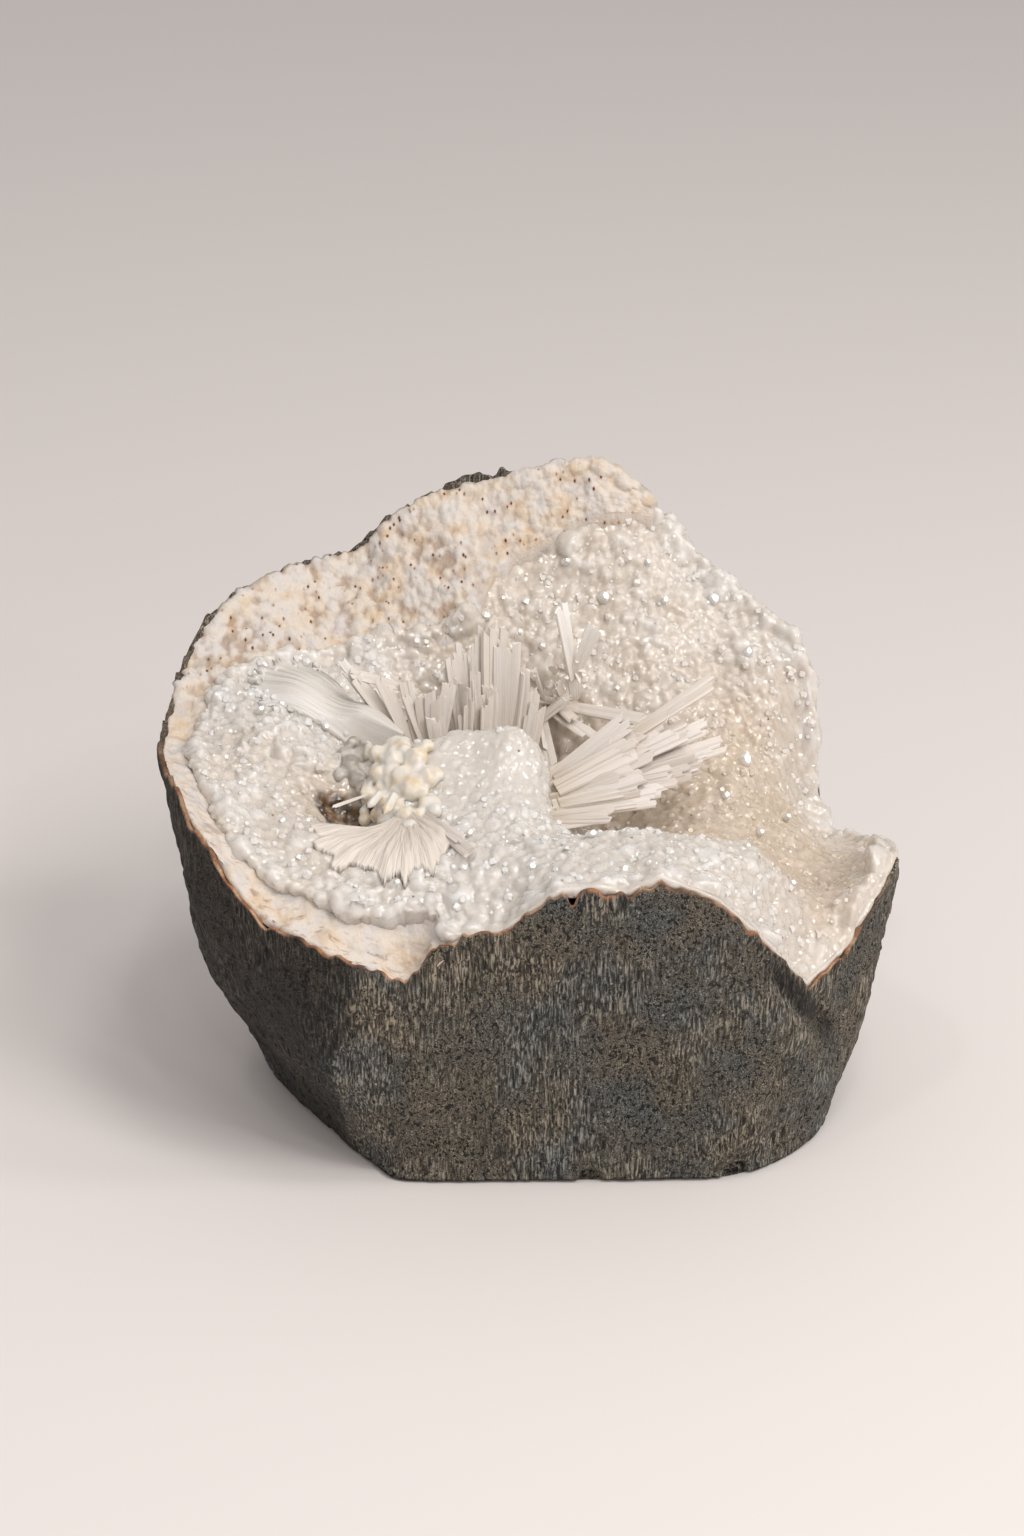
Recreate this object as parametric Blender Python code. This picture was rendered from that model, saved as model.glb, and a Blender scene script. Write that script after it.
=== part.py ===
"""Scolecite on basalt: half a lava nodule, open at the front, whose hollow is lined with a pale
rind and a milky crystal crust. Fans and bundles of white scolecite needles stand on the crust.

Lengths are in millimetres until a mesh is made, then metres. +X is the viewer's right, -Y is the
open front and +Z is up. The stone stands on its cut base at z = 0.
"""

from math import cos, pi, radians, sin
import random

import bmesh
import bpy
import numpy as np
from mathutils import Matrix, Vector

MM = 0.001
SEGMENTS = 56
GAP = 0.3

# Middle of the finished stone in plan, moved to the origin at the end
MIDDLE = (0.25, 2.05)

# Outline of the nodule: a squarish oval body that narrows downwards, trimmed by broad flat faces
AXIS = (0.6, -0.5)
HALF_WIDTH = 76.6
HALF_DEPTH = 60.5
SQUARENESS = 2.35
BELLY_HEIGHT = 78.0
TAPER_SPAN = 165.0
TAPER_POWER = 1.6
FACE_LEVEL = 45.0
FACE_BLEND = 40.0
# Each broken face: the direction it looks in, its lean from upright (degrees), and how far it
# lies from the axis at FACE_LEVEL
BROKEN_FACES = {
    "front": (271, -9, 50.4),
    "front left": (211, -25, 62.0),
    "front right": (318, -5, 68.0),
    "left": (184, -15, 65.8),
    "right": (350, -17, 75.0),
    "back": (92, -10, 54.0),
    "back left": (140, -18, 65.0),
    "back right": (42, -16, 66.0),
}
LUMP_HEIGHT = 0.7

# Height of the basalt's broken edge, by direction in degrees from +X towards the back
RIM = [
    (5, 51), (14, 47), (21, 46), (25, 54), (29, 74), (34, 84), (42, 88.5), (51, 94), (57, 99),
    (63, 108), (68, 112), (73, 118), (84, 117.5), (97, 116), (103, 114), (111, 110.5), (117, 108),
    (121, 105), (124, 100), (135, 98), (145, 97), (153, 93), (160, 86.5), (168, 81), (180, 78.5),
    (190, 80), (200, 79), (212, 71.5), (221, 60), (228, 58.5), (237, 53.5), (245, 50), (251, 58),
    (263, 60.4), (275, 70), (283, 70.6), (288, 69), (294, 72.7), (304, 66.7), (311, 58),
    (323, 42.8), (333, 46), (341, 53.6), (348, 59), (358, 55),
]
# How far the crust's edge stands above the basalt's edge, by direction
CRUST_RISE = [(0, 1), (25, 2.5), (85, 2), (100, -0.4), (200, -0.4), (215, 0.8), (340, 0.8)]

# The crust's free surface inside the edge: places (x, y, height) that give its form
FREE_SURFACE = {
    "front ledge": [
        (-25, -45, 64), (-44, -42, 66), (-33, -32, 69), (-6, -43, 69.5), (-56, -32, 72),
        (3.4, -31, 71.5), (14, -31.5, 72), (21, -29.5, 72), (31, -32, 71.5), (39, -34, 71),
        (47, -31, 66), (52, -29, 58.5), (20, -43, 73), (32, -44, 73), (44, -42, 63),
    ],
    "middle mound": [
        (-28, -4, 78), (-15, -1.5, 80), (-2, -1.5, 79), (4, -6, 76.5), (-12, -12, 79),
        (-24, -16, 75), (2, -16, 74), (0, -28, 72), (-15, -30, 72), (-31, -14, 72),
    ],
    "hollow behind the mound": [
        (8.5, -14, 66), (8, -24, 68), (8, -4, 62), (-28, 7, 64), (-14, 6, 60), (0, 5.5, 58),
        (-10, 15, 55), (6, 14, 53), (18, 8, 54), (-24, 15, 66),
    ],
    "small left hole": [(-37, -17, 62), (-43, -20, 70.5), (-36, -25, 69), (-40, -9, 75)],
    "left mass": [
        (-64, 5, 80), (-62, -12, 78), (-55, -3, 80), (-50, 10, 82), (-46, 2, 79),
        (-53, -20, 73.5), (-62, -25, 75),
    ],
    "back wall": [
        (-43, 30, 84), (-35, 33, 86.5), (-57, 28, 87), (-28, 24, 76), (-35, 16, 76),
        (-15, 35, 87), (-5, 39.5, 92.5), (0, 48, 104), (-20, 44, 98), (15, 38, 90), (8, 28, 76),
        (22, 44, 98), (30, 30, 80), (45, 35, 80), (32, 14, 64), (50, 22, 66), (56, 30, 74),
    ],
    "right basin": [
        (48, 5, 57), (28, 0, 58), (22, -14, 60), (40, -14, 57), (58, 10, 53), (12, -24, 66),
        (24, -22, 65), (36, -25, 66), (45, -22, 60), (59, -13, 50), (63, -22, 54), (68, -6, 53),
        (66, 6, 50), (56, -34, 49),
    ],
}
SURFACE_EASE = 2.0

# Crust and rind, measured across the hollow as a share of the way from the axis to the edge
EDGE_SHARE = 0.985
CRUST_THICK = 6.5
CRUST_EDGE_THICK = 2.0
CRUST_THINS_OVER = 0.12
CRUST_EDGE_DROP = 0.8
RIND_SHARE = 0.62
# Where the rind begins, by direction: it shows at the upper left and along the left edge
RIND_BEGINS = [
    (94, 0.985), (100, 0.80), (106, 0.70), (118, 0.66), (130, 0.66), (145, 0.75),
    (158, 0.84), (171, 0.915), (185, 0.925), (212, 0.92), (228, 0.90), (240, 0.875), (248, 0.90),
    (252, 0.96), (256, 0.985),
]
RIND_FROM, RIND_TO = 100, 252

RIND_STEPS = (0, 0.3, 0.65, 1)
NEEDLE_SIDES = 4
LIT_RINGS = 13
HIDDEN_RINGS = 6
WALL_RINGS = 6


def turned(direction):
    """Unit vector in plan for a direction in degrees."""
    return np.array([cos(radians(direction)), sin(radians(direction))])


def by_direction(table, phi):
    """Value at the angle phi (radians) of a table of (degrees, value), read all the way round."""
    degrees, values = np.array(table, float).T
    return np.interp(np.degrees(phi) % 360, degrees, values, period=360)


def body_radius(phi, z):
    """Distance from the axis to the nodule's outer face."""
    phi, z = np.broadcast_arrays(np.asarray(phi, float), np.asarray(z, float))
    ux, uy = np.cos(phi), np.sin(phi)
    shrink = np.clip(1 - np.abs((z - BELLY_HEIGHT) / TAPER_SPAN) ** TAPER_POWER, 1e-4, None)
    oval = np.abs(ux / HALF_WIDTH) ** SQUARENESS + np.abs(uy / HALF_DEPTH) ** SQUARENESS
    radius = (shrink ** (SQUARENESS / 2) / oval) ** (1 / SQUARENESS)
    total = radius**-FACE_BLEND
    for direction, lean, reach in BROKEN_FACES.values():
        across = (ux * turned(direction)[0] + uy * turned(direction)[1]) * cos(radians(lean))
        ahead = across > 0.05
        along = (reach - (z - FACE_LEVEL) * sin(radians(lean))) / np.where(ahead, across, 1)
        total = total + np.where(ahead, np.clip(along, 1, None), 1e3) ** -FACE_BLEND
    lumps = np.sin(5 * phi + z / 13) * np.sin(z / 17 + 2) + np.sin(11 * phi - z / 9)
    return total ** (-1 / FACE_BLEND) + LUMP_HEIGHT / 2 * lumps * np.clip(z / 8, 0, 1)


def rim_radius(phi):
    return body_radius(phi, by_direction(RIM, phi))


class FreeSurface:
    """Smooth height over (x, y), drawn like a bent thin plate through the given places."""

    def __init__(self):
        phi = np.arange(72) * 2 * pi / 72
        radius = rim_radius(phi) - 1.5
        edge = np.stack(
            [
                AXIS[0] + radius * np.cos(phi),
                AXIS[1] + radius * np.sin(phi),
                by_direction(RIM, phi) + by_direction(CRUST_RISE, phi),
            ],
            axis=1,
        )
        inner = np.concatenate([np.array(places, float) for places in FREE_SURFACE.values()])
        places = np.concatenate([edge, inner])
        self.at = places[:, :2]
        n = len(places)
        flat = np.concatenate([np.ones((n, 1)), self.at], axis=1)
        system = np.zeros((n + 3, n + 3))
        system[:n, :n] = self.bend(self.at) + SURFACE_EASE * np.eye(n)
        system[:n, n:] = flat
        system[n:, :n] = flat.T
        self.weights = np.linalg.solve(system, np.concatenate([places[:, 2], np.zeros(3)]))

    def bend(self, xy):
        away = np.linalg.norm(xy[:, None] - self.at[None], axis=2)
        return away**2 * np.log(np.where(away > 0, away, 1))

    def height(self, x, y):
        xy = np.stack([np.ravel(x), np.ravel(y)], axis=1).astype(float)
        flat = np.concatenate([np.ones((len(xy), 1)), xy], axis=1)
        z = np.concatenate([self.bend(xy), flat], axis=1) @ self.weights
        return z.reshape(np.shape(x))

    def slope(self, x, y, reach=1.5):
        """Rise of the surface along x and along y."""
        along_x = self.height(x + reach, y) - self.height(x - reach, y)
        along_y = self.height(x, y + reach) - self.height(x, y - reach)
        return along_x / (2 * reach), along_y / (2 * reach)

    def steepness(self, x, y):
        """1 where the surface is level, 2 where it slopes at 60 degrees, 3 at most."""
        along_x, along_y = self.slope(x, y)
        return np.minimum(np.sqrt(1 + along_x**2 + along_y**2), 3)


FREE = FreeSurface()


def plan(phi, share):
    """Point in plan at a share of the way from the axis to the basalt's edge."""
    radius = share * rim_radius(phi)
    return AXIS[0] + radius * np.cos(phi), AXIS[1] + radius * np.sin(phi)


def free_height(phi, share):
    return FREE.height(*plan(phi, share))


def crust_depth(phi, share):
    """Thickness of the crust straight down: more than across it where the surface is steep."""
    inwards = np.clip((EDGE_SHARE - share) / CRUST_THINS_OVER, 0, 1)
    thick = CRUST_EDGE_THICK + (CRUST_THICK - CRUST_EDGE_THICK) * inwards * (2 - inwards)
    return thick * FREE.steepness(*plan(phi, share))


def contact_height(phi, share):
    """Where the crust or the rind sits on the basalt."""
    return free_height(phi, share) - crust_depth(phi, share)


def new_object(name, mesh, group, material):
    obj = bpy.data.objects.new(name, mesh)
    group.objects.link(obj)
    mesh.materials.append(material)
    return obj


def object_from(name, bm, group, material):
    bmesh.ops.recalc_face_normals(bm, faces=bm.faces)
    mesh = bpy.data.meshes.new(name)
    bm.to_mesh(mesh)
    bm.free()
    return new_object(name, mesh, group, material)


def bowl(name, rings, group, material, edge_ring=None):
    """A closed bowl: a sphere whose rings, from its inner middle round the edge to its outer
    middle, are moved to the given functions of phi. The first and last give one point each.
    From the edge ring on, the rings run inwards again and the quads are split the other way,
    so that both sides of a crust, and what it lies on, have the same diagonals."""
    bm = bmesh.new()
    steps = len(rings) - 1
    bmesh.ops.create_uvsphere(bm, u_segments=SEGMENTS, v_segments=steps, radius=1)
    phis = np.arange(SEGMENTS) * 2 * pi / SEGMENTS
    places = [np.stack([np.broadcast_to(c, phis.shape) for c in ring(phis)], 1) for ring in rings]
    labels = {}
    for vertex in bm.verts:
        x, y, z = vertex.co
        ring = round(np.arccos(np.clip(z, -1, 1)) / pi * steps)
        segment = round(np.arctan2(y, x) / (2 * pi) * SEGMENTS) % SEGMENTS
        vertex.co = Vector(places[ring][segment]) * MM
        labels[vertex] = ring, segment
    for face in [face for face in bm.faces if len(face.verts) == 4]:
        split_quad(face, labels, edge_ring or steps)
    return object_from(name, bm, group, material)


def split_quad(face, labels, edge_ring):
    one, other = sorted(face.verts, key=lambda vertex: labels[vertex][0])[:2]
    outward = labels[one][0] < edge_ring
    one_is_first = (labels[one][1] + 1) % SEGMENTS == labels[other][1]
    start = one if one_is_first == outward else other
    opposite = face.verts[(list(face.verts).index(start) + 2) % 4]
    bmesh.utils.face_split(face, start, opposite)


def surface_ring(share_of, height_of):
    def ring(phi):
        share = share_of(phi)
        x, y = plan(phi, share)
        return x, y, height_of(phi, share)

    return ring


def crust_share(step):
    """Ring positions inside the crust, closer together near its edge."""
    return lambda phi: by_direction(RIND_BEGINS, phi) * step


def hidden_steps():
    return [sin(pi / 2 * i / HIDDEN_RINGS) for i in range(HIDDEN_RINGS + 1)]


def rind_share(step):
    """Ring positions across the rind's band, from its inner line (0) to its edge (1)."""

    def share(phi):
        begins = by_direction(RIND_BEGINS, phi)
        return begins + step * (EDGE_SHARE - begins)

    return share


def wall_ring(part):
    """A ring on the outer face, at a part of the way from the base to the broken edge."""

    def ring(phi):
        z = by_direction(RIM, phi) * part
        radius = body_radius(phi, z)
        return AXIS[0] + radius * np.cos(phi), AXIS[1] + radius * np.sin(phi), z

    return ring


def base_ring(phi):
    radius = body_radius(phi, 0) - 1.2
    return AXIS[0] + radius * np.cos(phi), AXIS[1] + radius * np.sin(phi), 0 * phi


def basalt_rings():
    rings = [surface_ring(crust_share(step), contact_height) for step in hidden_steps()]
    rings += [surface_ring(rind_share(step), contact_height) for step in RIND_STEPS[1:]]
    rings += [wall_ring(1 - i / WALL_RINGS) for i in range(WALL_RINGS)]
    rings += [wall_ring(0.02), base_ring]
    return rings + [lambda phi: (AXIS[0] + 0 * phi, AXIS[1] + 0 * phi, 0 * phi)]


def lit_rings(lift=0.0):
    """The crust's free surface, its outermost ring a little lower so that the edge is rounded."""

    def lifted(phi, share):
        return free_height(phi, share) + lift * FREE.steepness(*plan(phi, share))

    def edge(phi, share):
        return lifted(phi, share) - CRUST_EDGE_DROP

    rings = [surface_ring(crust_share(i / LIT_RINGS), lifted) for i in range(LIT_RINGS)]
    return rings + [surface_ring(crust_share(1), edge)]


def crust_rings():
    def lifted(phi, share):
        return contact_height(phi, share) + GAP

    return lit_rings() + [
        surface_ring(crust_share(step), lifted) for step in reversed(hidden_steps())
    ]


def ground_rings():
    """Everything below the crust's free surface, which cuts the feet of what stands on it."""

    def below(phi, share):
        return 0 * phi - 5

    return lit_rings(GAP) + [surface_ring(crust_share(step), below) for step in (1, 0)]


def rind_top(phi, share):
    return contact_height(phi, share) + 2 * GAP + RIND_SHARE * crust_depth(phi, share)


def rind_mesh():
    """The rind's band, lofted from one cross-section to the next along its sector."""
    start = 0.009
    bm = bmesh.new()
    loops = []
    for segment in range(SEGMENTS * RIND_FROM // 360, SEGMENTS * RIND_TO // 360 + 1):
        phi = 2 * pi * segment / SEGMENTS
        section = []
        for step in RIND_STEPS:
            share = max(rind_share(step)(phi), rind_share(0)(phi) + start)
            x, y = plan(phi, share)
            section.append((x, y, contact_height(phi, share) + 2 * GAP))
        for step in (1, 0.8, 0.55, 0.3, 0.1, 0):
            share = max(rind_share(step)(phi), rind_share(0)(phi) + start)
            x, y = plan(phi, share)
            section.append((x, y, rind_top(phi, share) - (0.5 if step in (0, 1) else 0)))
        loops.append([bm.verts.new(Vector([float(c) for c in p]) * MM) for p in section])
    for before, after in zip(loops, loops[1:]):
        for i in range(len(before)):
            j = (i + 1) % len(before)
            bm.faces.new((before[i], before[j], after[j], after[i]))
    bm.faces.new(loops[0])
    bm.faces.new(reversed(loops[-1]))
    quads = [face for face in bm.faces if len(face.verts) == 4]
    bmesh.ops.triangulate(bm, faces=quads, quad_method="FIXED")
    bmesh.ops.triangulate(bm, faces=bm.faces)
    return bm


def free_point(x, y, lift=0.0):
    return Vector((x, y, float(FREE.height(np.array(x), np.array(y))) + lift))


def free_normal(x, y):
    along_x, along_y = FREE.slope(np.array(x), np.array(y))
    return Vector((-float(along_x), -float(along_y), 1)).normalized()


def facing(direction, turn=0.0):
    """Rotation that takes +Z to the direction, after a turn about it."""
    return direction.to_track_quat("Z", "X").to_matrix().to_4x4() @ Matrix.Rotation(turn, 4, "Z")


def add_needle(bm, foot, tip, width, thick=None, turn=0.0):
    """One crystal needle: a long flat-faced prism with a short wedge at its tip."""
    foot, tip = Vector(foot), Vector(tip)
    length = (tip - foot).length
    thick = thick or width * 0.8
    shaft = bmesh.ops.create_cone(
        bm, cap_ends=True, segments=NEEDLE_SIDES, radius1=0.5, radius2=0.47, depth=1
    )["verts"]
    place = Matrix.Translation((foot + tip) / 2) @ facing(tip - foot, turn)
    bmesh.ops.transform(
        bm, matrix=place @ Matrix.Diagonal((width, thick, length, 1)), verts=shaft
    )
    ahead = (tip - foot).normalized()
    end = max(bm_faces(shaft), key=lambda face: face.calc_center_median().dot(ahead))
    grown = bmesh.ops.extrude_discrete_faces(bm, faces=[end])["faces"][0]
    middle = grown.calc_center_median()
    for vertex in grown.verts:
        vertex.co = middle + (vertex.co - middle) * 0.35 + ahead * width * 0.5


def bm_faces(verts):
    return {face for vertex in verts for face in vertex.link_faces}


def add_lump(bm, centre, radius, stretch=(1, 1, 1), turn=0.0, fine=1):
    made = bmesh.ops.create_icosphere(bm, subdivisions=fine, radius=radius)["verts"]
    place = Matrix.Translation(centre) @ Matrix.Rotation(turn, 4, "Z")
    bmesh.ops.transform(bm, matrix=place @ Matrix.Diagonal((*stretch, 1)), verts=made)


def add_crystal(bm, centre, up, radius, height, turn):
    """A stubby crystal with four sloping faces and a flat top, its root sunk in the crust."""
    made = bmesh.ops.create_cone(
        bm, cap_ends=True, segments=4, radius1=radius, radius2=radius * 0.55, depth=height
    )["verts"]
    place = Matrix.Translation(centre) @ facing(up, turn)
    bmesh.ops.transform(bm, matrix=place, verts=made)


def scale_to_metres(bm):
    bmesh.ops.scale(bm, vec=(MM, MM, MM), verts=bm.verts)


def boolean(obj, other, operation, self_crossing=False):
    """Joins or cuts with the exact solver, keeps the result as the mesh, and drops the modifier."""
    modifier = obj.modifiers.new(operation.title(), "BOOLEAN")
    modifier.operation = operation
    modifier.solver = "EXACT"
    modifier.use_self = self_crossing
    modifier.object = other
    graph = bpy.context.evaluated_depsgraph_get()
    result = bpy.data.meshes.new_from_object(obj.evaluated_get(graph))
    obj.modifiers.clear()
    obj.data = result


def discard(obj):
    bpy.data.objects.remove(obj, do_unlink=True)


def keep_main_body(obj):
    """Drops the crumbs that a join or a cut leaves loose from the main body."""
    bm = bmesh.new()
    bm.from_mesh(obj.data)
    waiting = set(bm.verts)
    bodies = []
    while waiting:
        body, edge_of_search = set(), [waiting.pop()]
        while edge_of_search:
            vertex = edge_of_search.pop()
            body.add(vertex)
            near = {edge.other_vert(vertex) for edge in vertex.link_edges} & waiting
            waiting -= near
            edge_of_search += near
        bodies.append(body)
    bodies.sort(key=len)
    crumbs = [vertex for body in bodies[:-1] for vertex in body]
    bmesh.ops.delete(bm, geom=crumbs, context="VERTS")
    bm.to_mesh(obj.data)
    bm.free()


def standing_piece(name, shape, group, material, ground):
    """A crystal group whose overlapping crystals are joined in one solid with the root they
    share, its feet cut to follow the crust with a thin gap."""
    bm = bmesh.new()
    hub = bmesh.new()
    shape(bm, hub)
    scale_to_metres(bm)
    scale_to_metres(hub)
    obj = object_from(name, hub, group, material)
    crystals = object_from(name + " crystals", bm, group, material)
    boolean(obj, crystals, "UNION", self_crossing=True)
    discard(crystals)
    boolean(obj, ground, "DIFFERENCE")
    keep_main_body(obj)
    return obj


# Needle groups. Each entry is (foot, tip, width) in millimetres
FAN_ROOT = (6.5, -13, 70.5)
RIGHT_FAN = [
    ((4, -9, 73), (20, -3, 83.5), 2.2), ((4, -9, 72), (23, -3, 82), 2.4),
    ((4, -11, 72), (29, -2, 81), 2.8), ((4, -12, 71), (33, 0, 80.5), 2.6),
    ((4, -11, 70), (37, 3, 80), 1.7), ((4, -13, 70), (40, 1, 76.5), 1.8),
    ((4, -14, 70), (35.5, -4, 74.5), 2.6), ((4, -14, 69), (33, -6, 73), 2.2),
    ((4, -15, 69), (28.5, -8, 72), 2.6), ((4, -17, 69), (26.5, -12, 70.5), 2.0),
    ((4, -19, 69), (17, -18, 69.5), 2.0), ((21, -4, 81), (37.5, 5, 89), 1.8),
]
BUNDLE_ROOT = (-8, 12, 58)
CENTRE_BUNDLE = [
    ((-8, 12, 58), (-9, 18, 94), 2.4), ((-7, 12, 58), (-6.6, 18, 96), 2.4),
    ((-6, 12, 58), (-4.4, 18, 94), 2.4), ((-5.5, 12, 58), (-2.6, 17, 90.5), 2.0),
    ((-4, 12, 58), (0.6, 17, 84), 2.0), ((-10, 12, 58), (-11, 18, 95.5), 1.8),
    ((-11, 10, 60), (-10.9, 12, 88), 1.2), ((-11, 11, 58), (-14.6, 18, 92), 1.5),
    ((-12, 10, 58), (-16.5, 17, 91.5), 1.6), ((-13, 9, 60), (-12.5, 9, 86), 1.4),
]
LEFT_SPRAY_ROOT = (-21, 7, 66)
LEFT_SPRAY = [
    ((-20, 7, 66), (-16.3, 11, 86.5), 1.6), ((-19, 7, 66), (-19.3, 8, 85), 2.6),
    ((-20, 7, 66), (-22, 9, 85), 1.8), ((-21, 7, 66), (-25.6, 10, 87), 1.7),
    ((-22, 7, 67), (-30.8, 9, 87.5), 1.6), ((-22, 7, 68), (-36, 10.5, 87.5), 1.6),
    ((-24, 8, 70), (-39, 13, 89.5), 1.5),
]
V_NEEDLES = [
    ((9.6, 29, 74), (9.2, 24, 83.5), 1.8), ((9.2, 24, 82), (6.2, 22, 99), 1.7),
    ((9.2, 24, 82), (13.6, 22, 94), 1.6),
]
CROSSING_ROOT = (5.6, 26.5, 73)
CROSSING_BLADES = [
    ((5, 26, 74), (25, 11, 77), 1.7), ((5, 26, 74), (13, 12, 73), 1.5),
    ((5, 26, 73), (4.5, 12, 66), 1.5), ((5, 27, 74), (-2.5, 18, 80.5), 1.4),
    ((5, 27, 74), (1, 19, 85), 1.4), ((5, 27, 74), (5.5, 18, 83), 1.3),
]
LEFT_FAN_APEX = (-33, 1, 77)
LEFT_FAN_TIPS = [
    (-56, 5, 82.5), (-58.5, 12, 84), (-59, 18, 85.5), (-56, 21.5, 86.5), (-52, 24, 86.5),
    (-47.5, 24.5, 86), (-44.5, 23, 84),
]
FAN_BLADE = (8.8, 5.4)
SILKY_BLADE = (9.0, 4.4)
SILKY_ROOT = (-26, -25)
SILKY_TIPS = [
    (-43.5, -27.5), (-42.5, -33.5), (-38.5, -39), (-33, -39.5), (-27.5, -43), (-22, -43.5),
    (-17, -41.5), (-16, -34),
]
LOOSE_BLADES = [((-21, -25, 72.5), (-11.5, -41, 71.5), 1.7), ((-33, -19, 72), (-41, -24, 73.5), 1.4)]
CREAM_BALLS = [
    (-26.5, -7, 2.6), (-28, -11, 2.4), (-28.5, -14.5, 2.3), (-24.5, -14, 2.6), (-21.5, -12, 2.5),
    (-25, -19.5, 2.4), (-20.5, -18, 2.3), (-24, -25, 2.5), (-20, -23, 2.2), (-31.5, -9, 2.2),
]


def right_fan(bm, hub):
    add_lump(hub, FAN_ROOT, 4, (0.9, 2.0, 1.3))
    for n, (foot, tip, width) in enumerate(RIGHT_FAN):
        add_needle(bm, foot, tip, width, turn=0.5 * n)


def centre_bundle(bm, hub):
    add_lump(hub, BUNDLE_ROOT, 4.5, (1.7, 1, 1.2))
    for n, (foot, tip, width) in enumerate(CENTRE_BUNDLE):
        add_needle(bm, foot, tip, width, turn=0.4 * n)


def left_spray(bm, hub):
    add_lump(hub, LEFT_SPRAY_ROOT, 4.4)
    for n, (foot, tip, width) in enumerate(LEFT_SPRAY):
        add_needle(bm, foot, tip, width, turn=0.4 * n)


def v_needles(bm, hub):
    add_lump(hub, V_NEEDLES[0][0], 2.6)
    for n, (foot, tip, width) in enumerate(V_NEEDLES):
        add_needle(bm, foot, tip, width, turn=0.5 * n)


def crossing_blades(bm, hub):
    add_lump(hub, CROSSING_ROOT, 3.4)
    for n, (foot, tip, width) in enumerate(CROSSING_BLADES):
        add_needle(bm, foot, tip, width, turn=0.5 * n)


def left_fan(bm, hub):
    add_lump(hub, LEFT_FAN_APEX, 4, (1.2, 1, 0.8))
    for tip in LEFT_FAN_TIPS:
        add_needle(bm, LEFT_FAN_APEX, tip, *FAN_BLADE, turn=pi / 4)


def silky_patch(bm, hub):
    root = free_point(*SILKY_ROOT, 1.0)
    add_lump(hub, root, 3.5, (1.5, 1, 0.8))
    for x, y in SILKY_TIPS:
        add_needle(bm, root, free_point(x, y, 1.2), *SILKY_BLADE, turn=pi / 4)
    for foot, tip, width in LOOSE_BLADES:
        add_needle(bm, foot, tip, width)


def cream_balls(bm, hub):
    add_lump(hub, free_point(-25.5, -13, -1), 5, (1.2, 2.1, 0.7))
    for n, (x, y, radius) in enumerate(CREAM_BALLS):
        add_lump(bm, free_point(x, y, 0.8), radius, turn=n, fine=2)


STANDING = {
    "scolecite_fan_right": right_fan,
    "scolecite_bundle_centre": centre_bundle,
    "scolecite_spray_left": left_spray,
    "scolecite_pair_back": v_needles,
    "scolecite_blades_crossing": crossing_blades,
    "scolecite_fan_left": left_fan,
    "scolecite_silky_patch": silky_patch,
    "cream_ball_cluster": cream_balls,
}

EDGE_MARGIN = 2.0
NEEDLE_MARGIN = 4.0
CRYSTALS = 46
CRYSTAL_SIZE = (3.3, 5.2)
CRYSTAL_HEIGHT = 1.35
CRYSTAL_RISE = 0.2
KNOBS = 16
KNOB_SIZE = (2.4, 3.0)
KNOB_SINK = 0.9


def needle_points():
    """Points along every needle and root, which the crust's own crystals keep clear of."""
    lines = RIGHT_FAN + CENTRE_BUNDLE + LEFT_SPRAY + V_NEEDLES + CROSSING_BLADES + LOOSE_BLADES
    lines = [(foot, tip) for foot, tip, _ in lines]
    lines += [(LEFT_FAN_APEX, tip) for tip in LEFT_FAN_TIPS]
    root = free_point(*SILKY_ROOT)
    lines += [(root, free_point(x, y)) for x, y in SILKY_TIPS]
    points = [Vector(foot).lerp(Vector(tip), i / 12) for foot, tip in lines for i in range(13)]
    points += [free_point(x, y) for x, y, _ in CREAM_BALLS]
    points += [free_point(-25.5, y) for y in (-24, -18, -12, -6, -2)]
    return points + [Vector(FAN_ROOT), Vector(BUNDLE_ROOT), Vector(LEFT_SPRAY_ROOT)]


def scattered(draw, count, size, first_share, last_share, keep_clear, spacing):
    """Places spread over the hollow between two shares, spaced apart and clear of the needles."""
    found = []
    for _ in range(count * 60):
        phi = draw.uniform(0, 2 * pi)
        low, high = first_share(phi), last_share(phi)
        share = (draw.uniform(low**2, max(high, low) ** 2)) ** 0.5
        radius = draw.uniform(*size)
        x, y = (float(c) for c in plan(phi, share))
        inside = min((high - share), (share - low) if low else 1) * float(rim_radius(phi))
        centre = free_point(x, y)
        if inside < radius + EDGE_MARGIN or high <= low:
            continue
        if any((centre - other).length < spacing * (radius + r) for other, r in found):
            continue
        if any((centre - other).length < radius + NEEDLE_MARGIN for other in keep_clear):
            continue
        found.append((centre, radius))
        if len(found) == count:
            break
    return found


def add_crust_crystals(crust, group, material):
    draw = random.Random(11)
    bm = bmesh.new()
    inner, outer = lambda phi: 0.0, lambda phi: float(by_direction(RIND_BEGINS, phi)) - 0.02
    for centre, radius in scattered(draw, CRYSTALS, CRYSTAL_SIZE, inner, outer, needle_points(), 0.8):
        up = free_normal(centre.x, centre.y)
        lean = Vector([draw.uniform(-0.35, 0.35) for _ in range(3)])
        height = radius * CRYSTAL_HEIGHT
        middle = centre + up * height * CRYSTAL_RISE
        add_crystal(bm, middle, up + lean, radius, height, draw.uniform(0, pi))
    scale_to_metres(bm)
    crystals = object_from("crust crystals", bm, group, material)
    boolean(crust, crystals, "UNION", self_crossing=True)
    discard(crystals)
    keep_main_body(crust)


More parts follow.
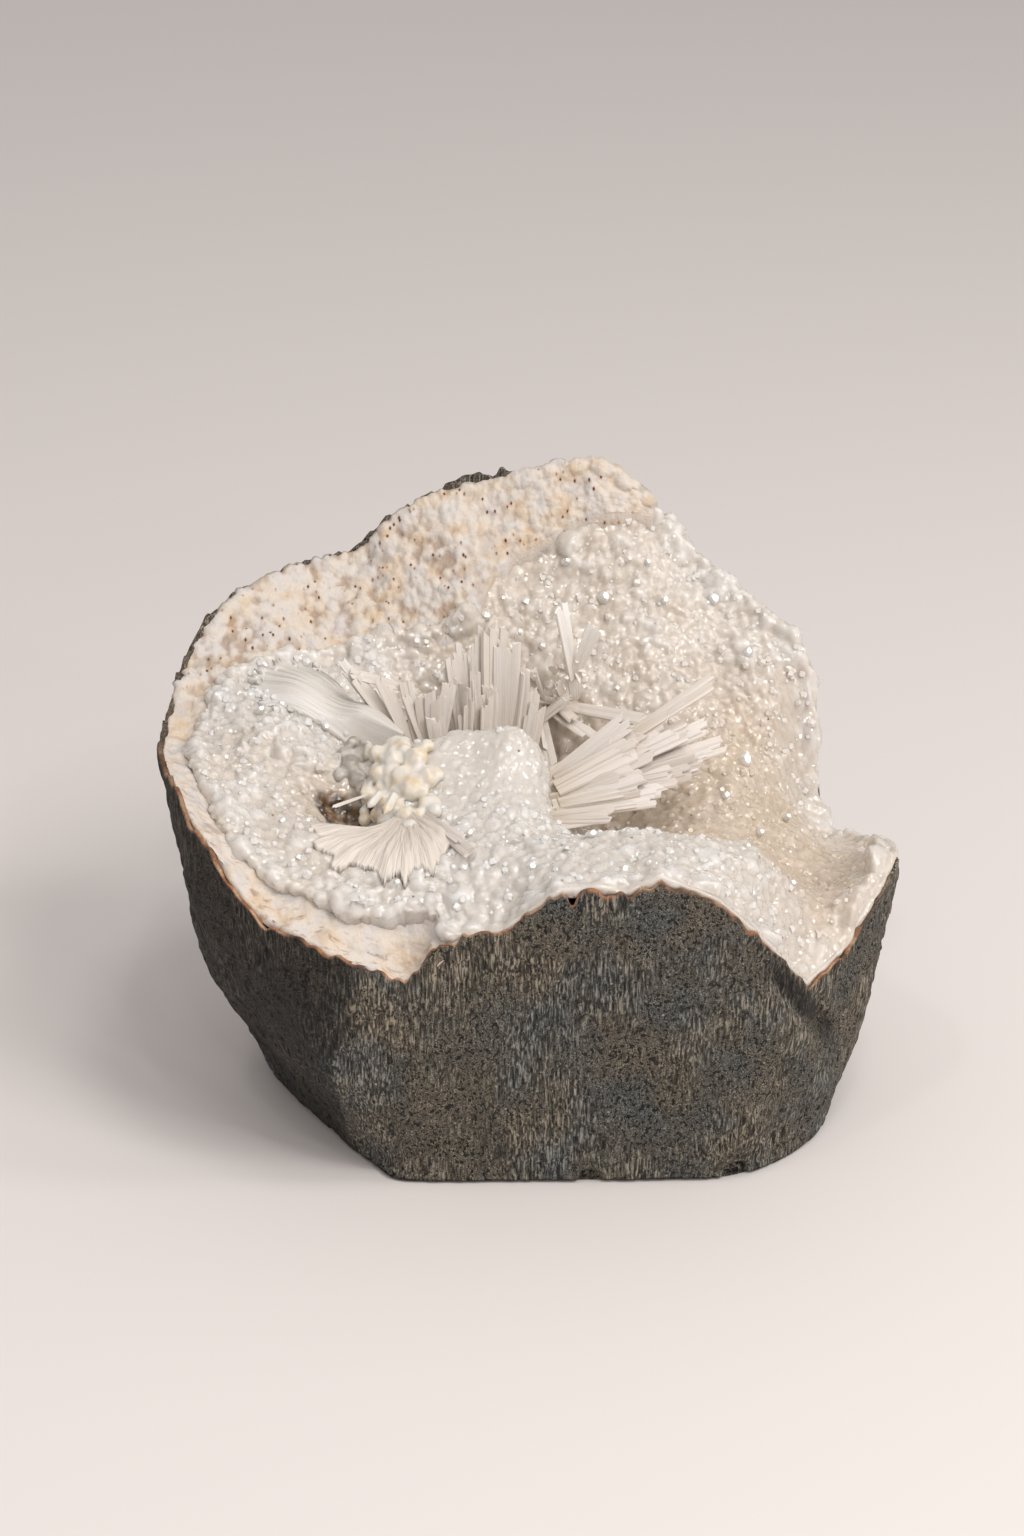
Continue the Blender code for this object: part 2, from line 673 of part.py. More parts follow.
def add_rind_knobs(rind, group, material):
    draw = random.Random(5)
    bm = bmesh.new()
    low = lambda phi: float(by_direction(RIND_BEGINS, phi)) + 0.004
    high = lambda phi: EDGE_SHARE - 0.04
    for centre, radius in scattered(draw, KNOBS, KNOB_SIZE, low, high, [], 0.75):
        up = free_normal(centre.x, centre.y)
        add_lump(bm, centre - up * KNOB_SINK, radius, turn=draw.uniform(0, pi))
    scale_to_metres(bm)
    knobs = object_from("rind knobs", bm, group, material)
    boolean(rind, knobs, "UNION", self_crossing=True)
    discard(knobs)
    keep_main_body(rind)


# Marks in the basalt: a sunken crack at the front right and chips out of the base edge, each
# (middle, long direction, length, width, depth)
BASALT_MARKS = [
    ((54.2, -41.2, 39), (13.7, 17.8, -24.3), 34, 3.2, 4.4),
    ((12, -44.2, 0.4), (1, 0, 0), 6, 3, 3),
    ((41.5, -42, 0.4), (1, 0.2, 0), 8, 4, 4),
]


def cut_basalt_marks(basalt, cutters, material):
    for number, (middle, along, length, width, depth) in enumerate(BASALT_MARKS):
        bm = bmesh.new()
        bmesh.ops.create_icosphere(bm, subdivisions=2, radius=0.5)
        place = Matrix.Translation(middle) @ facing(Vector(along))
        bmesh.ops.transform(
            bm, matrix=place @ Matrix.Diagonal((width, depth, length, 1)), verts=bm.verts
        )
        scale_to_metres(bm)
        cutter = object_from(f"mark {number + 1}", bm, cutters, material)
        hide_cutter(cutter)
        boolean(basalt, cutter, "DIFFERENCE")


def hide_cutter(obj):
    obj.hide_render = True
    obj.display_type = "WIRE"


def principled(name, colour, roughness):
    material = bpy.data.materials.new(name)
    material.use_nodes = True
    shader = material.node_tree.nodes["Principled BSDF"]
    shader.inputs["Base Color"].default_value = (*colour, 1)
    shader.inputs["Roughness"].default_value = roughness
    shader.inputs["Metallic"].default_value = 0
    material.diffuse_color = (*colour, 1)
    return material


def new_group(name):
    group = bpy.data.collections.new(name)
    bpy.context.scene.collection.children.link(group)
    return group


def centre_over_origin(group):
    for obj in group.objects:
        obj.data.transform(Matrix.Translation((-MIDDLE[0] * MM, -MIDDLE[1] * MM, 0)))


def build():
    for obj in list(bpy.data.objects):
        bpy.data.objects.remove(obj, do_unlink=True)
    stone = new_group("scolecite on basalt")
    cutters = new_group("cutters")

    grey_basalt = principled("basalt", (0.045, 0.042, 0.038), 0.85)
    cream_rind = principled("creamy rind", (0.75, 0.62, 0.52), 0.7)
    milky_crust = principled("milky crystal", (0.72, 0.69, 0.62), 0.25)
    silky_white = principled("scolecite", (0.82, 0.76, 0.68), 0.35)
    cream_mineral = principled("cream mineral", (0.80, 0.68, 0.50), 0.3)

    basalt = bowl("basalt_matrix", basalt_rings(), stone, grey_basalt)
    cut_basalt_marks(basalt, cutters, grey_basalt)

    rind = object_from("creamy_rind", rind_mesh(), stone, cream_rind)
    add_rind_knobs(rind, stone, cream_rind)

    crust = bowl("druse_crust", crust_rings(), stone, milky_crust, edge_ring=LIT_RINGS)
    add_crust_crystals(crust, stone, milky_crust)

    ground = bowl("ground", ground_rings(), cutters, milky_crust, edge_ring=LIT_RINGS)
    hide_cutter(ground)
    for name, shape in STANDING.items():
        material = cream_mineral if shape is cream_balls else silky_white
        standing_piece(name, shape, stone, material, ground)
    centre_over_origin(stone)


build()
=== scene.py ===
"""Looks of a scolecite specimen: half a basalt nodule whose hollow holds a creamy rind, a milky
crystal crust and white scolecite needles.

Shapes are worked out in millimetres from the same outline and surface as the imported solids, then
moved by MIDDLE and scaled to metres. +X is the viewer's right, -Y the open front, +Z up.
Directions are in degrees from +X towards the back, and a share is a part of the way from the
axis to the basalt's edge.
"""

from math import cos, pi, radians, sin

import bpy
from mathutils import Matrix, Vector
from mathutils.kdtree import KDTree
import numpy as np


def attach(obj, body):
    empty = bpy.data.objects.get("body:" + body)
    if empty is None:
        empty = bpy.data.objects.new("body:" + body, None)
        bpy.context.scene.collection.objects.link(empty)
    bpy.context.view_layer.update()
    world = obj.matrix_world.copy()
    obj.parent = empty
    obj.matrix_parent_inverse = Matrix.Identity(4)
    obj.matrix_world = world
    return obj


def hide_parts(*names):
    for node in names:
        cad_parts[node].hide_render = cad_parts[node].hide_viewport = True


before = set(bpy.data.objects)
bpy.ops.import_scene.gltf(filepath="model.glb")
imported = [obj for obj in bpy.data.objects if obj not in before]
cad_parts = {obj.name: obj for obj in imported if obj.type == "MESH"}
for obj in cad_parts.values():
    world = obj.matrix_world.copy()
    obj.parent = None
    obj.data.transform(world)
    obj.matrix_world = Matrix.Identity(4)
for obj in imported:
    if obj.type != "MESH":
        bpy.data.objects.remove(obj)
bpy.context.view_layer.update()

MM = 0.001
MIDDLE = (0.25, 2.05)

# Outline of the nodule: a squarish oval body that narrows downwards, trimmed by broad flat faces
AXIS = (0.6, -0.5)
HALF_WIDTH = 76.6
HALF_DEPTH = 60.5
SQUARENESS = 2.35
BELLY_HEIGHT = 78.0
TAPER_SPAN = 165.0
TAPER_POWER = 1.6
FACE_LEVEL = 45.0
FACE_BLEND = 40.0
# Each broken face: the direction it looks in, its lean from upright (degrees), and how far it
# lies from the axis at FACE_LEVEL
BROKEN_FACES = [
    (271, -9, 50.4), (211, -25, 62.0), (318, -5, 68.0), (184, -15, 65.8),
    (350, -17, 75.0), (92, -10, 54.0), (140, -18, 65.0), (42, -16, 66.0),
]
LUMP_HEIGHT = 0.7

# Height of the basalt's broken edge, by direction in degrees from +X towards the back
RIM = [
    (5, 51), (14, 47), (21, 46), (25, 54), (29, 74), (34, 84), (42, 88.5), (51, 94), (57, 99),
    (63, 108), (68, 112), (73, 118), (84, 117.5), (97, 116), (103, 114), (111, 110.5), (117, 108),
    (121, 105), (124, 100), (135, 98), (145, 97), (153, 93), (160, 86.5), (168, 81), (180, 78.5),
    (190, 80), (200, 79), (212, 71.5), (221, 60), (228, 58.5), (237, 53.5), (245, 50), (251, 58),
    (263, 60.4), (275, 70), (283, 70.6), (288, 69), (294, 72.7), (304, 66.7), (311, 58),
    (323, 42.8), (333, 46), (341, 53.6), (348, 59), (358, 55),
]
# How far the crust's edge stands above the basalt's edge, by direction
CRUST_RISE = [(0, 1), (25, 2.5), (85, 2), (100, -0.4), (200, -0.4), (215, 0.8), (340, 0.8)]

# The crust's free surface inside the edge: places (x, y, height) that give its form
FREE_SURFACE = {
    "front ledge": [
        (-25, -45, 64), (-44, -42, 66), (-33, -32, 69), (-6, -43, 69.5), (-56, -32, 72),
        (3.4, -31, 71.5), (14, -31.5, 72), (21, -29.5, 72), (31, -32, 71.5), (39, -34, 71),
        (47, -31, 66), (52, -29, 58.5), (20, -43, 73), (32, -44, 73), (44, -42, 63),
    ],
    "middle mound": [
        (-28, -4, 78), (-15, -1.5, 80), (-2, -1.5, 79), (4, -6, 76.5), (-12, -12, 79),
        (-24, -16, 75), (2, -16, 74), (0, -28, 72), (-15, -30, 72), (-31, -14, 72),
    ],
    "hollow behind the mound": [
        (8.5, -14, 66), (8, -24, 68), (8, -4, 62), (-28, 7, 64), (-14, 6, 60), (0, 5.5, 58),
        (-10, 15, 55), (6, 14, 53), (18, 8, 54), (-24, 15, 66),
    ],
    "small left hole": [(-37, -17, 62), (-43, -20, 70.5), (-36, -25, 69), (-40, -9, 75)],
    "left mass": [
        (-64, 5, 80), (-62, -12, 78), (-55, -3, 80), (-50, 10, 82), (-46, 2, 79),
        (-53, -20, 73.5), (-62, -25, 75),
    ],
    "back wall": [
        (-43, 30, 84), (-35, 33, 86.5), (-57, 28, 87), (-28, 24, 76), (-35, 16, 76),
        (-15, 35, 87), (-5, 39.5, 92.5), (0, 48, 104), (-20, 44, 98), (15, 38, 90), (8, 28, 76),
        (22, 44, 98), (30, 30, 80), (45, 35, 80), (32, 14, 64), (50, 22, 66), (56, 30, 74),
    ],
    "right basin": [
        (48, 5, 57), (28, 0, 58), (22, -14, 60), (40, -14, 57), (58, 10, 53), (12, -24, 66),
        (24, -22, 65), (36, -25, 66), (45, -22, 60), (59, -13, 50), (63, -22, 54), (68, -6, 53),
        (66, 6, 50), (56, -34, 49),
    ],
}
SURFACE_EASE = 2.0

# Crust and rind, in millimetres and in shares
EDGE_SHARE = 0.985
CRUST_THICK = 6.5
CRUST_EDGE_THICK = 2.0
CRUST_THINS_OVER = 0.12
RIND_SHARE = 0.62
# Where the rind begins, by direction: it shows at the upper left and along the left edge
RIND_BEGINS = [
    (62, 0.985), (69, 0.93), (80, 0.895), (94, 0.86), (101, 0.79), (106, 0.70), (118, 0.66),
    (130, 0.66), (145, 0.75), (158, 0.835), (171, 0.895), (185, 0.90), (212, 0.895), (228, 0.875),
    (240, 0.85), (248, 0.885), (252, 0.96), (256, 0.985),
]


# Numbers on surfaces


def turned(direction):
    """Unit vector in plan for a direction in degrees."""
    return np.array([cos(radians(direction)), sin(radians(direction))])


def by_direction(table, phi):
    """Value at the angle phi (radians) of a table of (degrees, value), read all the way round."""
    degrees, values = np.array(table, float).T
    return np.interp(np.degrees(phi) % 360, degrees, values, period=360)


def direction_of(points):
    """Direction of each point from the axis, from -180 to 180 degrees."""
    return np.degrees(np.arctan2(points[:, 1] - AXIS[1], points[:, 0] - AXIS[0]))


def ring_at(phi, radius, z):
    """Points at the angles phi (radians), at a distance from the axis and a height."""
    return np.stack([AXIS[0] + radius * np.cos(phi), AXIS[1] + radius * np.sin(phi), z], axis=1)


def body_radius(phi, z):
    """Distance from the axis to the nodule's outer face."""
    phi, z = np.broadcast_arrays(np.asarray(phi, float), np.asarray(z, float))
    ux, uy = np.cos(phi), np.sin(phi)
    shrink = np.clip(1 - np.abs((z - BELLY_HEIGHT) / TAPER_SPAN) ** TAPER_POWER, 1e-4, None)
    oval = np.abs(ux / HALF_WIDTH) ** SQUARENESS + np.abs(uy / HALF_DEPTH) ** SQUARENESS
    radius = (shrink ** (SQUARENESS / 2) / oval) ** (1 / SQUARENESS)
    total = radius**-FACE_BLEND
    for direction, lean, reach in BROKEN_FACES:
        across = (ux * turned(direction)[0] + uy * turned(direction)[1]) * cos(radians(lean))
        ahead = across > 0.05
        along = (reach - (z - FACE_LEVEL) * sin(radians(lean))) / np.where(ahead, across, 1)
        total = total + np.where(ahead, np.clip(along, 1, None), 1e3) ** -FACE_BLEND
    # Slow swellings round the stone and up it
    lumps = np.sin(5 * phi + z / 13) * np.sin(z / 17 + 2) + np.sin(11 * phi - z / 9)
    return total ** (-1 / FACE_BLEND) + LUMP_HEIGHT / 2 * lumps * np.clip(z / 8, 0, 1)


def rim_radius(phi):
    return body_radius(phi, by_direction(RIM, phi))


EDGE_PLACES = 72
EDGE_INSET = 1.5
AT_A_TIME = 20000


class FreeSurface:
    """Smooth height over (x, y), drawn like a bent thin plate through the given places."""

    def __init__(self):
        phi = np.arange(EDGE_PLACES) * 2 * pi / EDGE_PLACES
        height = by_direction(RIM, phi) + by_direction(CRUST_RISE, phi)
        edge = ring_at(phi, rim_radius(phi) - EDGE_INSET, height)
        inner = np.concatenate([np.array(places, float) for places in FREE_SURFACE.values()])
        places = np.concatenate([edge, inner])
        self.at = places[:, :2]
        n = len(places)
        flat = np.concatenate([np.ones((n, 1)), self.at], axis=1)
        system = np.zeros((n + 3, n + 3))
        system[:n, :n] = self.bend(self.at) + SURFACE_EASE * np.eye(n)
        system[:n, n:] = flat
        system[n:, :n] = flat.T
        self.weights = np.linalg.solve(system, np.concatenate([places[:, 2], np.zeros(3)]))

    def bend(self, xy):
        away = np.linalg.norm(xy[:, None] - self.at[None], axis=2)
        return away**2 * np.log(np.where(away > 0, away, 1))

    def height(self, x, y):
        xy = np.stack([np.ravel(x), np.ravel(y)], axis=1).astype(float)
        z = np.empty(len(xy))
        for start in range(0, len(xy), AT_A_TIME):
            part = xy[start : start + AT_A_TIME]
            flat = np.concatenate([np.ones((len(part), 1)), part], axis=1)
            z[start : start + AT_A_TIME] = np.concatenate([self.bend(part), flat], axis=1) @ self.weights
        return z.reshape(np.shape(x))

    def steepness(self, x, y, reach=1.5):
        """1 where the surface is level, 2 where it slopes at 60 degrees, 3 at most."""
        along_x = (self.height(x + reach, y) - self.height(x - reach, y)) / (2 * reach)
        along_y = (self.height(x, y + reach) - self.height(x, y - reach)) / (2 * reach)
        return np.minimum(np.sqrt(1 + along_x**2 + along_y**2), 3)


FREE = FreeSurface()


def plan(phi, share):
    """Point in plan at a share of the way from the axis to the basalt's edge."""
    radius = share * rim_radius(phi)
    return AXIS[0] + radius * np.cos(phi), AXIS[1] + radius * np.sin(phi)


def crust_depth(phi, share):
    """Thickness of the crust straight down: more than across it where the surface is steep."""
    inwards = np.clip((EDGE_SHARE - share) / CRUST_THINS_OVER, 0, 1)
    thick = CRUST_EDGE_THICK + (CRUST_THICK - CRUST_EDGE_THICK) * inwards * (2 - inwards)
    return thick * FREE.steepness(*plan(phi, share))


def contact_height(phi, share):
    """Where the crust or the rind sits on the basalt."""
    return FREE.height(*plan(phi, share)) - crust_depth(phi, share)


def free_point(x, y, lift=0.0):
    return np.array([x, y, float(FREE.height(np.array(x), np.array(y))) + lift])


# How far everything near the edge is drawn in towards the axis, by direction: the crust's
# upper right edge is steep and leans in
DRAWN_IN = [(352, 0), (2, 1.5), (12, 4), (25, 6), (40, 6), (50, 4.5), (60, 3), (70, 1), (80, 0)]
# The share of the rim's distance, and the height from the rim, over which this fades in
DRAWN_IN_FADE = (0.5, 1.0)
DRAWN_IN_HEIGHTS = (-28, -3)


def drawn_in(points):
    points = np.array(points, float)
    off = points[:, :2] - AXIS
    phi = np.arctan2(off[:, 1], off[:, 0])
    radius = np.maximum(np.hypot(off[:, 0], off[:, 1]), 1e-6)
    amount = by_direction(DRAWN_IN, phi) * mixed(*DRAWN_IN_FADE, radius / rim_radius(phi))
    amount = amount * mixed(*DRAWN_IN_HEIGHTS, points[:, 2] - by_direction(RIM, phi))
    points[:, :2] -= off * (amount / radius)[:, None]
    return points


def mixed(low, high, x):
    """0 below low, 1 above high, and a smooth step between."""
    t = np.clip((x - low) / (high - low), 0, 1)
    return t * t * (3 - 2 * t)


def wave(points, size, seed=0):
    """Smooth random waves from -1 to 1, about `size` millimetres long."""
    p = np.asarray(points, float) / size + np.array([17.3, 5.1, 9.7]) * (seed + 1)
    cell = np.floor(p).astype(np.int64)
    f = p - cell
    f = f * f * f * (f * (f * 6 - 15) + 10)
    total = 0
    for corner in range(8):
        step = np.array([corner & 1, corner >> 1 & 1, corner >> 2])
        i = cell + step
        mixed_bits = i[:, 0] * 374761393 + i[:, 1] * 668265263 + i[:, 2] * 1274126177
        mixed_bits = (mixed_bits ^ (mixed_bits >> 13)) * 1103515245 & 0x7FFFFFFF
        mixed_bits = (mixed_bits ^ (mixed_bits >> 15)) * 12345679 & 0x7FFFFFFF
        value = (mixed_bits >> 8 & 0xFFFF) / 32767.5 - 1
        total = total + value * np.prod(np.where(step, f, 1 - f), axis=1)
    return total


def waves(points, size, octaves=3, seed=0):
    return sum(wave(points, size / 2**n, seed + 7 * n) / 2**n for n in range(octaves))


# Meshes


def mesh_object(name, points, faces, material, values=None, smooth=True):
    """An object from points in millimetres and arrays of faces, each array with its own number
    of corners. Values are numbers, one per point, that a material reads by name."""
    mesh = bpy.data.meshes.new(name)
    points = (drawn_in(points) - (*MIDDLE, 0)) * MM
    faces = [np.asarray(f, np.int32) for f in faces if len(f)]
    corners = np.concatenate([f.ravel() for f in faces])
    sizes = np.concatenate([np.full(len(f), f.shape[1]) for f in faces])
    starts = np.concatenate([[0], np.cumsum(sizes)[:-1]])
    mesh.vertices.add(len(points))
    mesh.vertices.foreach_set("co", points.astype(np.float32).ravel())
    mesh.loops.add(len(corners))
    mesh.loops.foreach_set("vertex_index", corners)
    mesh.polygons.add(len(sizes))
    mesh.polygons.foreach_set("loop_start", starts.astype(np.int32))
    mesh.update(calc_edges=True)
    mesh.validate()
    mesh.polygons.foreach_set("use_smooth", np.full(len(mesh.polygons), smooth))
    for key, value in (values or {}).items():
        value = np.asarray(value, np.float32)
        kind = "FLOAT_VECTOR" if value.ndim == 2 else "FLOAT"
        field = "vector" if value.ndim == 2 else "value"
        mesh.attributes.new(key, kind, "POINT").data.foreach_set(field, value.ravel())
    obj = bpy.data.objects.new(name, mesh)
    bpy.context.scene.collection.objects.link(obj)
    mesh.materials.append(material)
    return obj


def band_faces(rows, columns, first=0, closed=True):
    """Quads between rows of points, each row running round (closed) or from side to side."""
    row = np.arange(rows - 1)[:, None] * columns
    column = np.arange(columns if closed else columns - 1)[None]
    ahead = (column + 1) % columns
    quads = [row + column, row + ahead, row + columns + ahead, row + columns + column]
    return first + np.stack(quads, axis=-1).reshape(-1, 4)


def fan_faces(centre, ring):
    """Triangles from one point to a closed ring of points."""
    ring = np.asarray(ring)
    return np.stack([np.full(len(ring), centre), ring, np.roll(ring, -1)], axis=1)


def closed_sheet(name, material, top, under, values):
    """A closed piece from the points of its top and of its underside (rows, columns, 3), with a
    wall round its border. Values are numbers for the top's points, or pairs of them for both."""
    rows, columns = top.shape[:2]
    count = rows * columns
    quads = band_faces(rows, columns, closed=False)
    border = np.concatenate(
        [
            np.arange(columns - 1),
            columns - 1 + np.arange(rows - 1) * columns,
            count - 1 - np.arange(columns - 1),
            count - columns - np.arange(rows - 1) * columns,
        ]
    )
    ahead = np.roll(border, -1)
    walls = np.stack([border, border + count, ahead + count, ahead], 1)
    faces = [np.concatenate([quads[:, ::-1], quads + count, walls[:, ::-1]])]
    points = np.concatenate([top.reshape(-1, 3), under.reshape(-1, 3)])
    both = {}
    for key, value in values.items():
        above, below = value if isinstance(value, tuple) else (value, value)
        both[key] = np.concatenate([above, below])
    return outward(mesh_object(name, points, faces, material, both))


def outward(obj):
    """Turns the faces of a closed mesh out if they point in."""
    mesh = obj.data
    mesh.calc_loop_triangles()
    points = np.empty(len(mesh.vertices) * 3, np.float32)
    mesh.vertices.foreach_get("co", points)
    triangles = np.empty(len(mesh.loop_triangles) * 3, np.int32)
    mesh.loop_triangles.foreach_get("vertices", triangles)
    a, b, c = points.reshape(-1, 3)[triangles.reshape(-1, 3)].transpose(1, 0, 2).astype(float)
    if np.sum(a * np.cross(b, c)) < 0:
        mesh.flip_normals()
    return obj


def grid_normals(grid):
    """Normals of a grid of points (rows, columns, 3) whose rows run round."""
    along = np.roll(grid, -1, axis=1) - np.roll(grid, 1, axis=1)
    across = np.gradient(grid, axis=0)
    normal = np.cross(along, across)
    return normal / np.maximum(np.linalg.norm(normal, axis=2, keepdims=True), 1e-9)


def unit(v):
    v = np.asarray(v, float)
    return v / np.maximum(np.linalg.norm(v, axis=-1, keepdims=True), 1e-9)


def near_each(tree_points, centres, sizes):
    """Pairs (point, centre) of the points that lie within each centre's size."""
    tree = KDTree(len(tree_points))
    for index, point in enumerate(tree_points.tolist()):
        tree.insert(point, index)
    tree.balance()
    which, owner = [], []
    for number, (centre, size) in enumerate(zip(centres.tolist(), sizes.tolist())):
        near = [index for _, index, _ in tree.find_range(centre, size)]
        which += near
        owner += [number] * len(near)
    return np.array(which), np.array(owner)


# How deep a crystal's flat faces are cut, as shares of its radius, and how far one has to look
# along the surface's direction to count
FACE_CUTS = (0.72, 0.97)
LEAST_TOWARDS = 0.15
UNCUT = 1e9


def grown_height(points, normals, centres, sizes, facets, draw):
    """How far each point rises along its normal to reach the outermost of many crystals, each a
    ball with some flat faces cut on it, and which crystal that is: 0 and -1 where none is."""
    which, seed = near_each(points, centres, sizes)
    away = points[which] - centres[seed]
    normal = normals[which]
    radius = sizes[seed]
    along = np.sum(away * normal, axis=1)
    reach = np.sqrt(np.maximum(along**2 - np.sum(away**2, axis=1) + radius**2, 0)) - along
    faces = unit(draw.normal(size=(len(centres), facets, 3)))
    depth = draw.uniform(*FACE_CUTS, (len(centres), facets))
    for k in range(facets):
        flat = faces[seed, k]
        towards = np.sum(flat * normal, axis=1)
        gap = depth[seed, k] * radius - np.sum(flat * away, axis=1)
        cut = np.where(towards > LEAST_TOWARDS, gap / np.maximum(towards, LEAST_TOWARDS), UNCUT)
        reach = np.minimum(reach, cut)
    height = np.zeros(len(points))
    np.maximum.at(height, which, reach)
    owner = np.full(len(points), -1)
    on_top = reach >= height[which] - 1e-9
    owner[which[on_top]] = seed[on_top]
    return height, np.where(height > 0, owner, -1)


def spread_out(places, gap):
    """Which of the places to keep so that no two are closer than the gap."""
    tree = KDTree(len(places))
    for index, place in enumerate(places.tolist()):
        tree.insert(place, index)
    tree.balance()
    kept = np.ones(len(places), bool)
    for index, place in enumerate(places.tolist()):
        if kept[index]:
            for _, other, _ in tree.find_range(place, gap):
                kept[other] = other <= index and kept[other]
    return kept


# Materials


def linear(hex_colour):
    """Linear colour from an sRGB hex value."""
    parts = [int(hex_colour[i : i + 2], 16) / 255 for i in (1, 3, 5)]
    return [c / 12.92 if c <= 0.04045 else ((c + 0.055) / 1.055) ** 2.4 for c in parts] + [1.0]


def per_mm(*stretch):
    """Scale of a Mapping node that turns metres to millimetres, stretched along each axis."""
    return [c / MM for c in stretch]


def add_node(tree, kind, inputs=None, out=0, stops=(), **settings):
    """Adds a node and gives its output `out`. Inputs are numbers, sRGB hex colours or the
    outputs that feed them; a ramp's stops are (position, hex colour or grey number)."""
    node = tree.nodes.new(kind)
    for key, value in settings.items():
        setattr(node, key, value)
    for key, value in (inputs or {}).items():
        feed(tree, node.inputs[key], value)
    if stops:
        elements = node.color_ramp.elements
        while len(elements) < len(stops):
            elements.new(0.5)
        for element, (position, colour) in zip(elements, stops):
            element.position = position
            element.color = linear(colour) if isinstance(colour, str) else [colour] * 3 + [1]
    return node.outputs[out] if node.outputs else None


def feed(tree, socket, value):
    if isinstance(value, bpy.types.NodeSocket):
        tree.links.new(value, socket)
    elif isinstance(value, str) and value.startswith("#"):
        socket.default_value = linear(value)
    else:
        socket.default_value = value


class Finish:
    """A material being put together, with object coordinates in millimetres as its place."""

    def __init__(self, name):
        self.material = bpy.data.materials.new(name)
        self.material.use_nodes = True
        self.tree = self.material.node_tree
        self.shader = self.tree.nodes["Principled BSDF"]
        self.metres = self.add("TexCoord", out="Object")
        self.place = self.add("Mapping", {"Vector": self.metres, "Scale": per_mm(1, 1, 1)})

    def add(self, kind, inputs=None, out=0, stops=(), **settings):
        return add_node(self.tree, "ShaderNode" + kind, inputs, out, stops, **settings)

    def surface(self, **values):
        """Sets the shader's own sockets and gives the finished material."""
        for key, value in values.items():
            feed(self.tree, self.shader.inputs[key.replace("_", " ")], value)
        return self.material

    def patches(self, size, stops, detail=3, rough=0.55, place=None):
        """Irregular patches about `size` millimetres across, in the colours or greys of the stops."""
        texture = {"Vector": place or self.place, "Scale": 1 / size, "Detail": detail, "Roughness": rough}
        level = self.add("TexNoise", texture, "Fac")
        return self.add("ValToRGB", {"Fac": level}, stops=stops)

    def drifting(self, name, size, amount):
        """The mesh's value of this name, shifted a little by waves `size` millimetres long."""
        texture = {"Vector": self.place, "Scale": 1 / size, "Detail": 2, "Roughness": 0.55}
        level = self.add("TexNoise", texture, "Fac")
        shift = self.add("Math", {0: level, 1: 0.5}, operation="SUBTRACT")
        shift = self.add("Math", {0: shift, 1: amount}, operation="MULTIPLY")
        value = self.add("Attribute", out="Fac", attribute_name=name)
        return self.add("Math", {0: value, 1: shift}, operation="ADD")

    def cells(self, size, channel, place=None):
        """Cells about `size` millimetres across: the distance from each one's middle, and a
        chance from 0 to 1 for each."""
        distance = self.add("TexVoronoi", {"Vector": place or self.place, "Scale": 1 / size}, "Distance")
        chance = self.add("SeparateColor", {"Color": distance.node.outputs["Color"]}, channel)
        return distance, chance


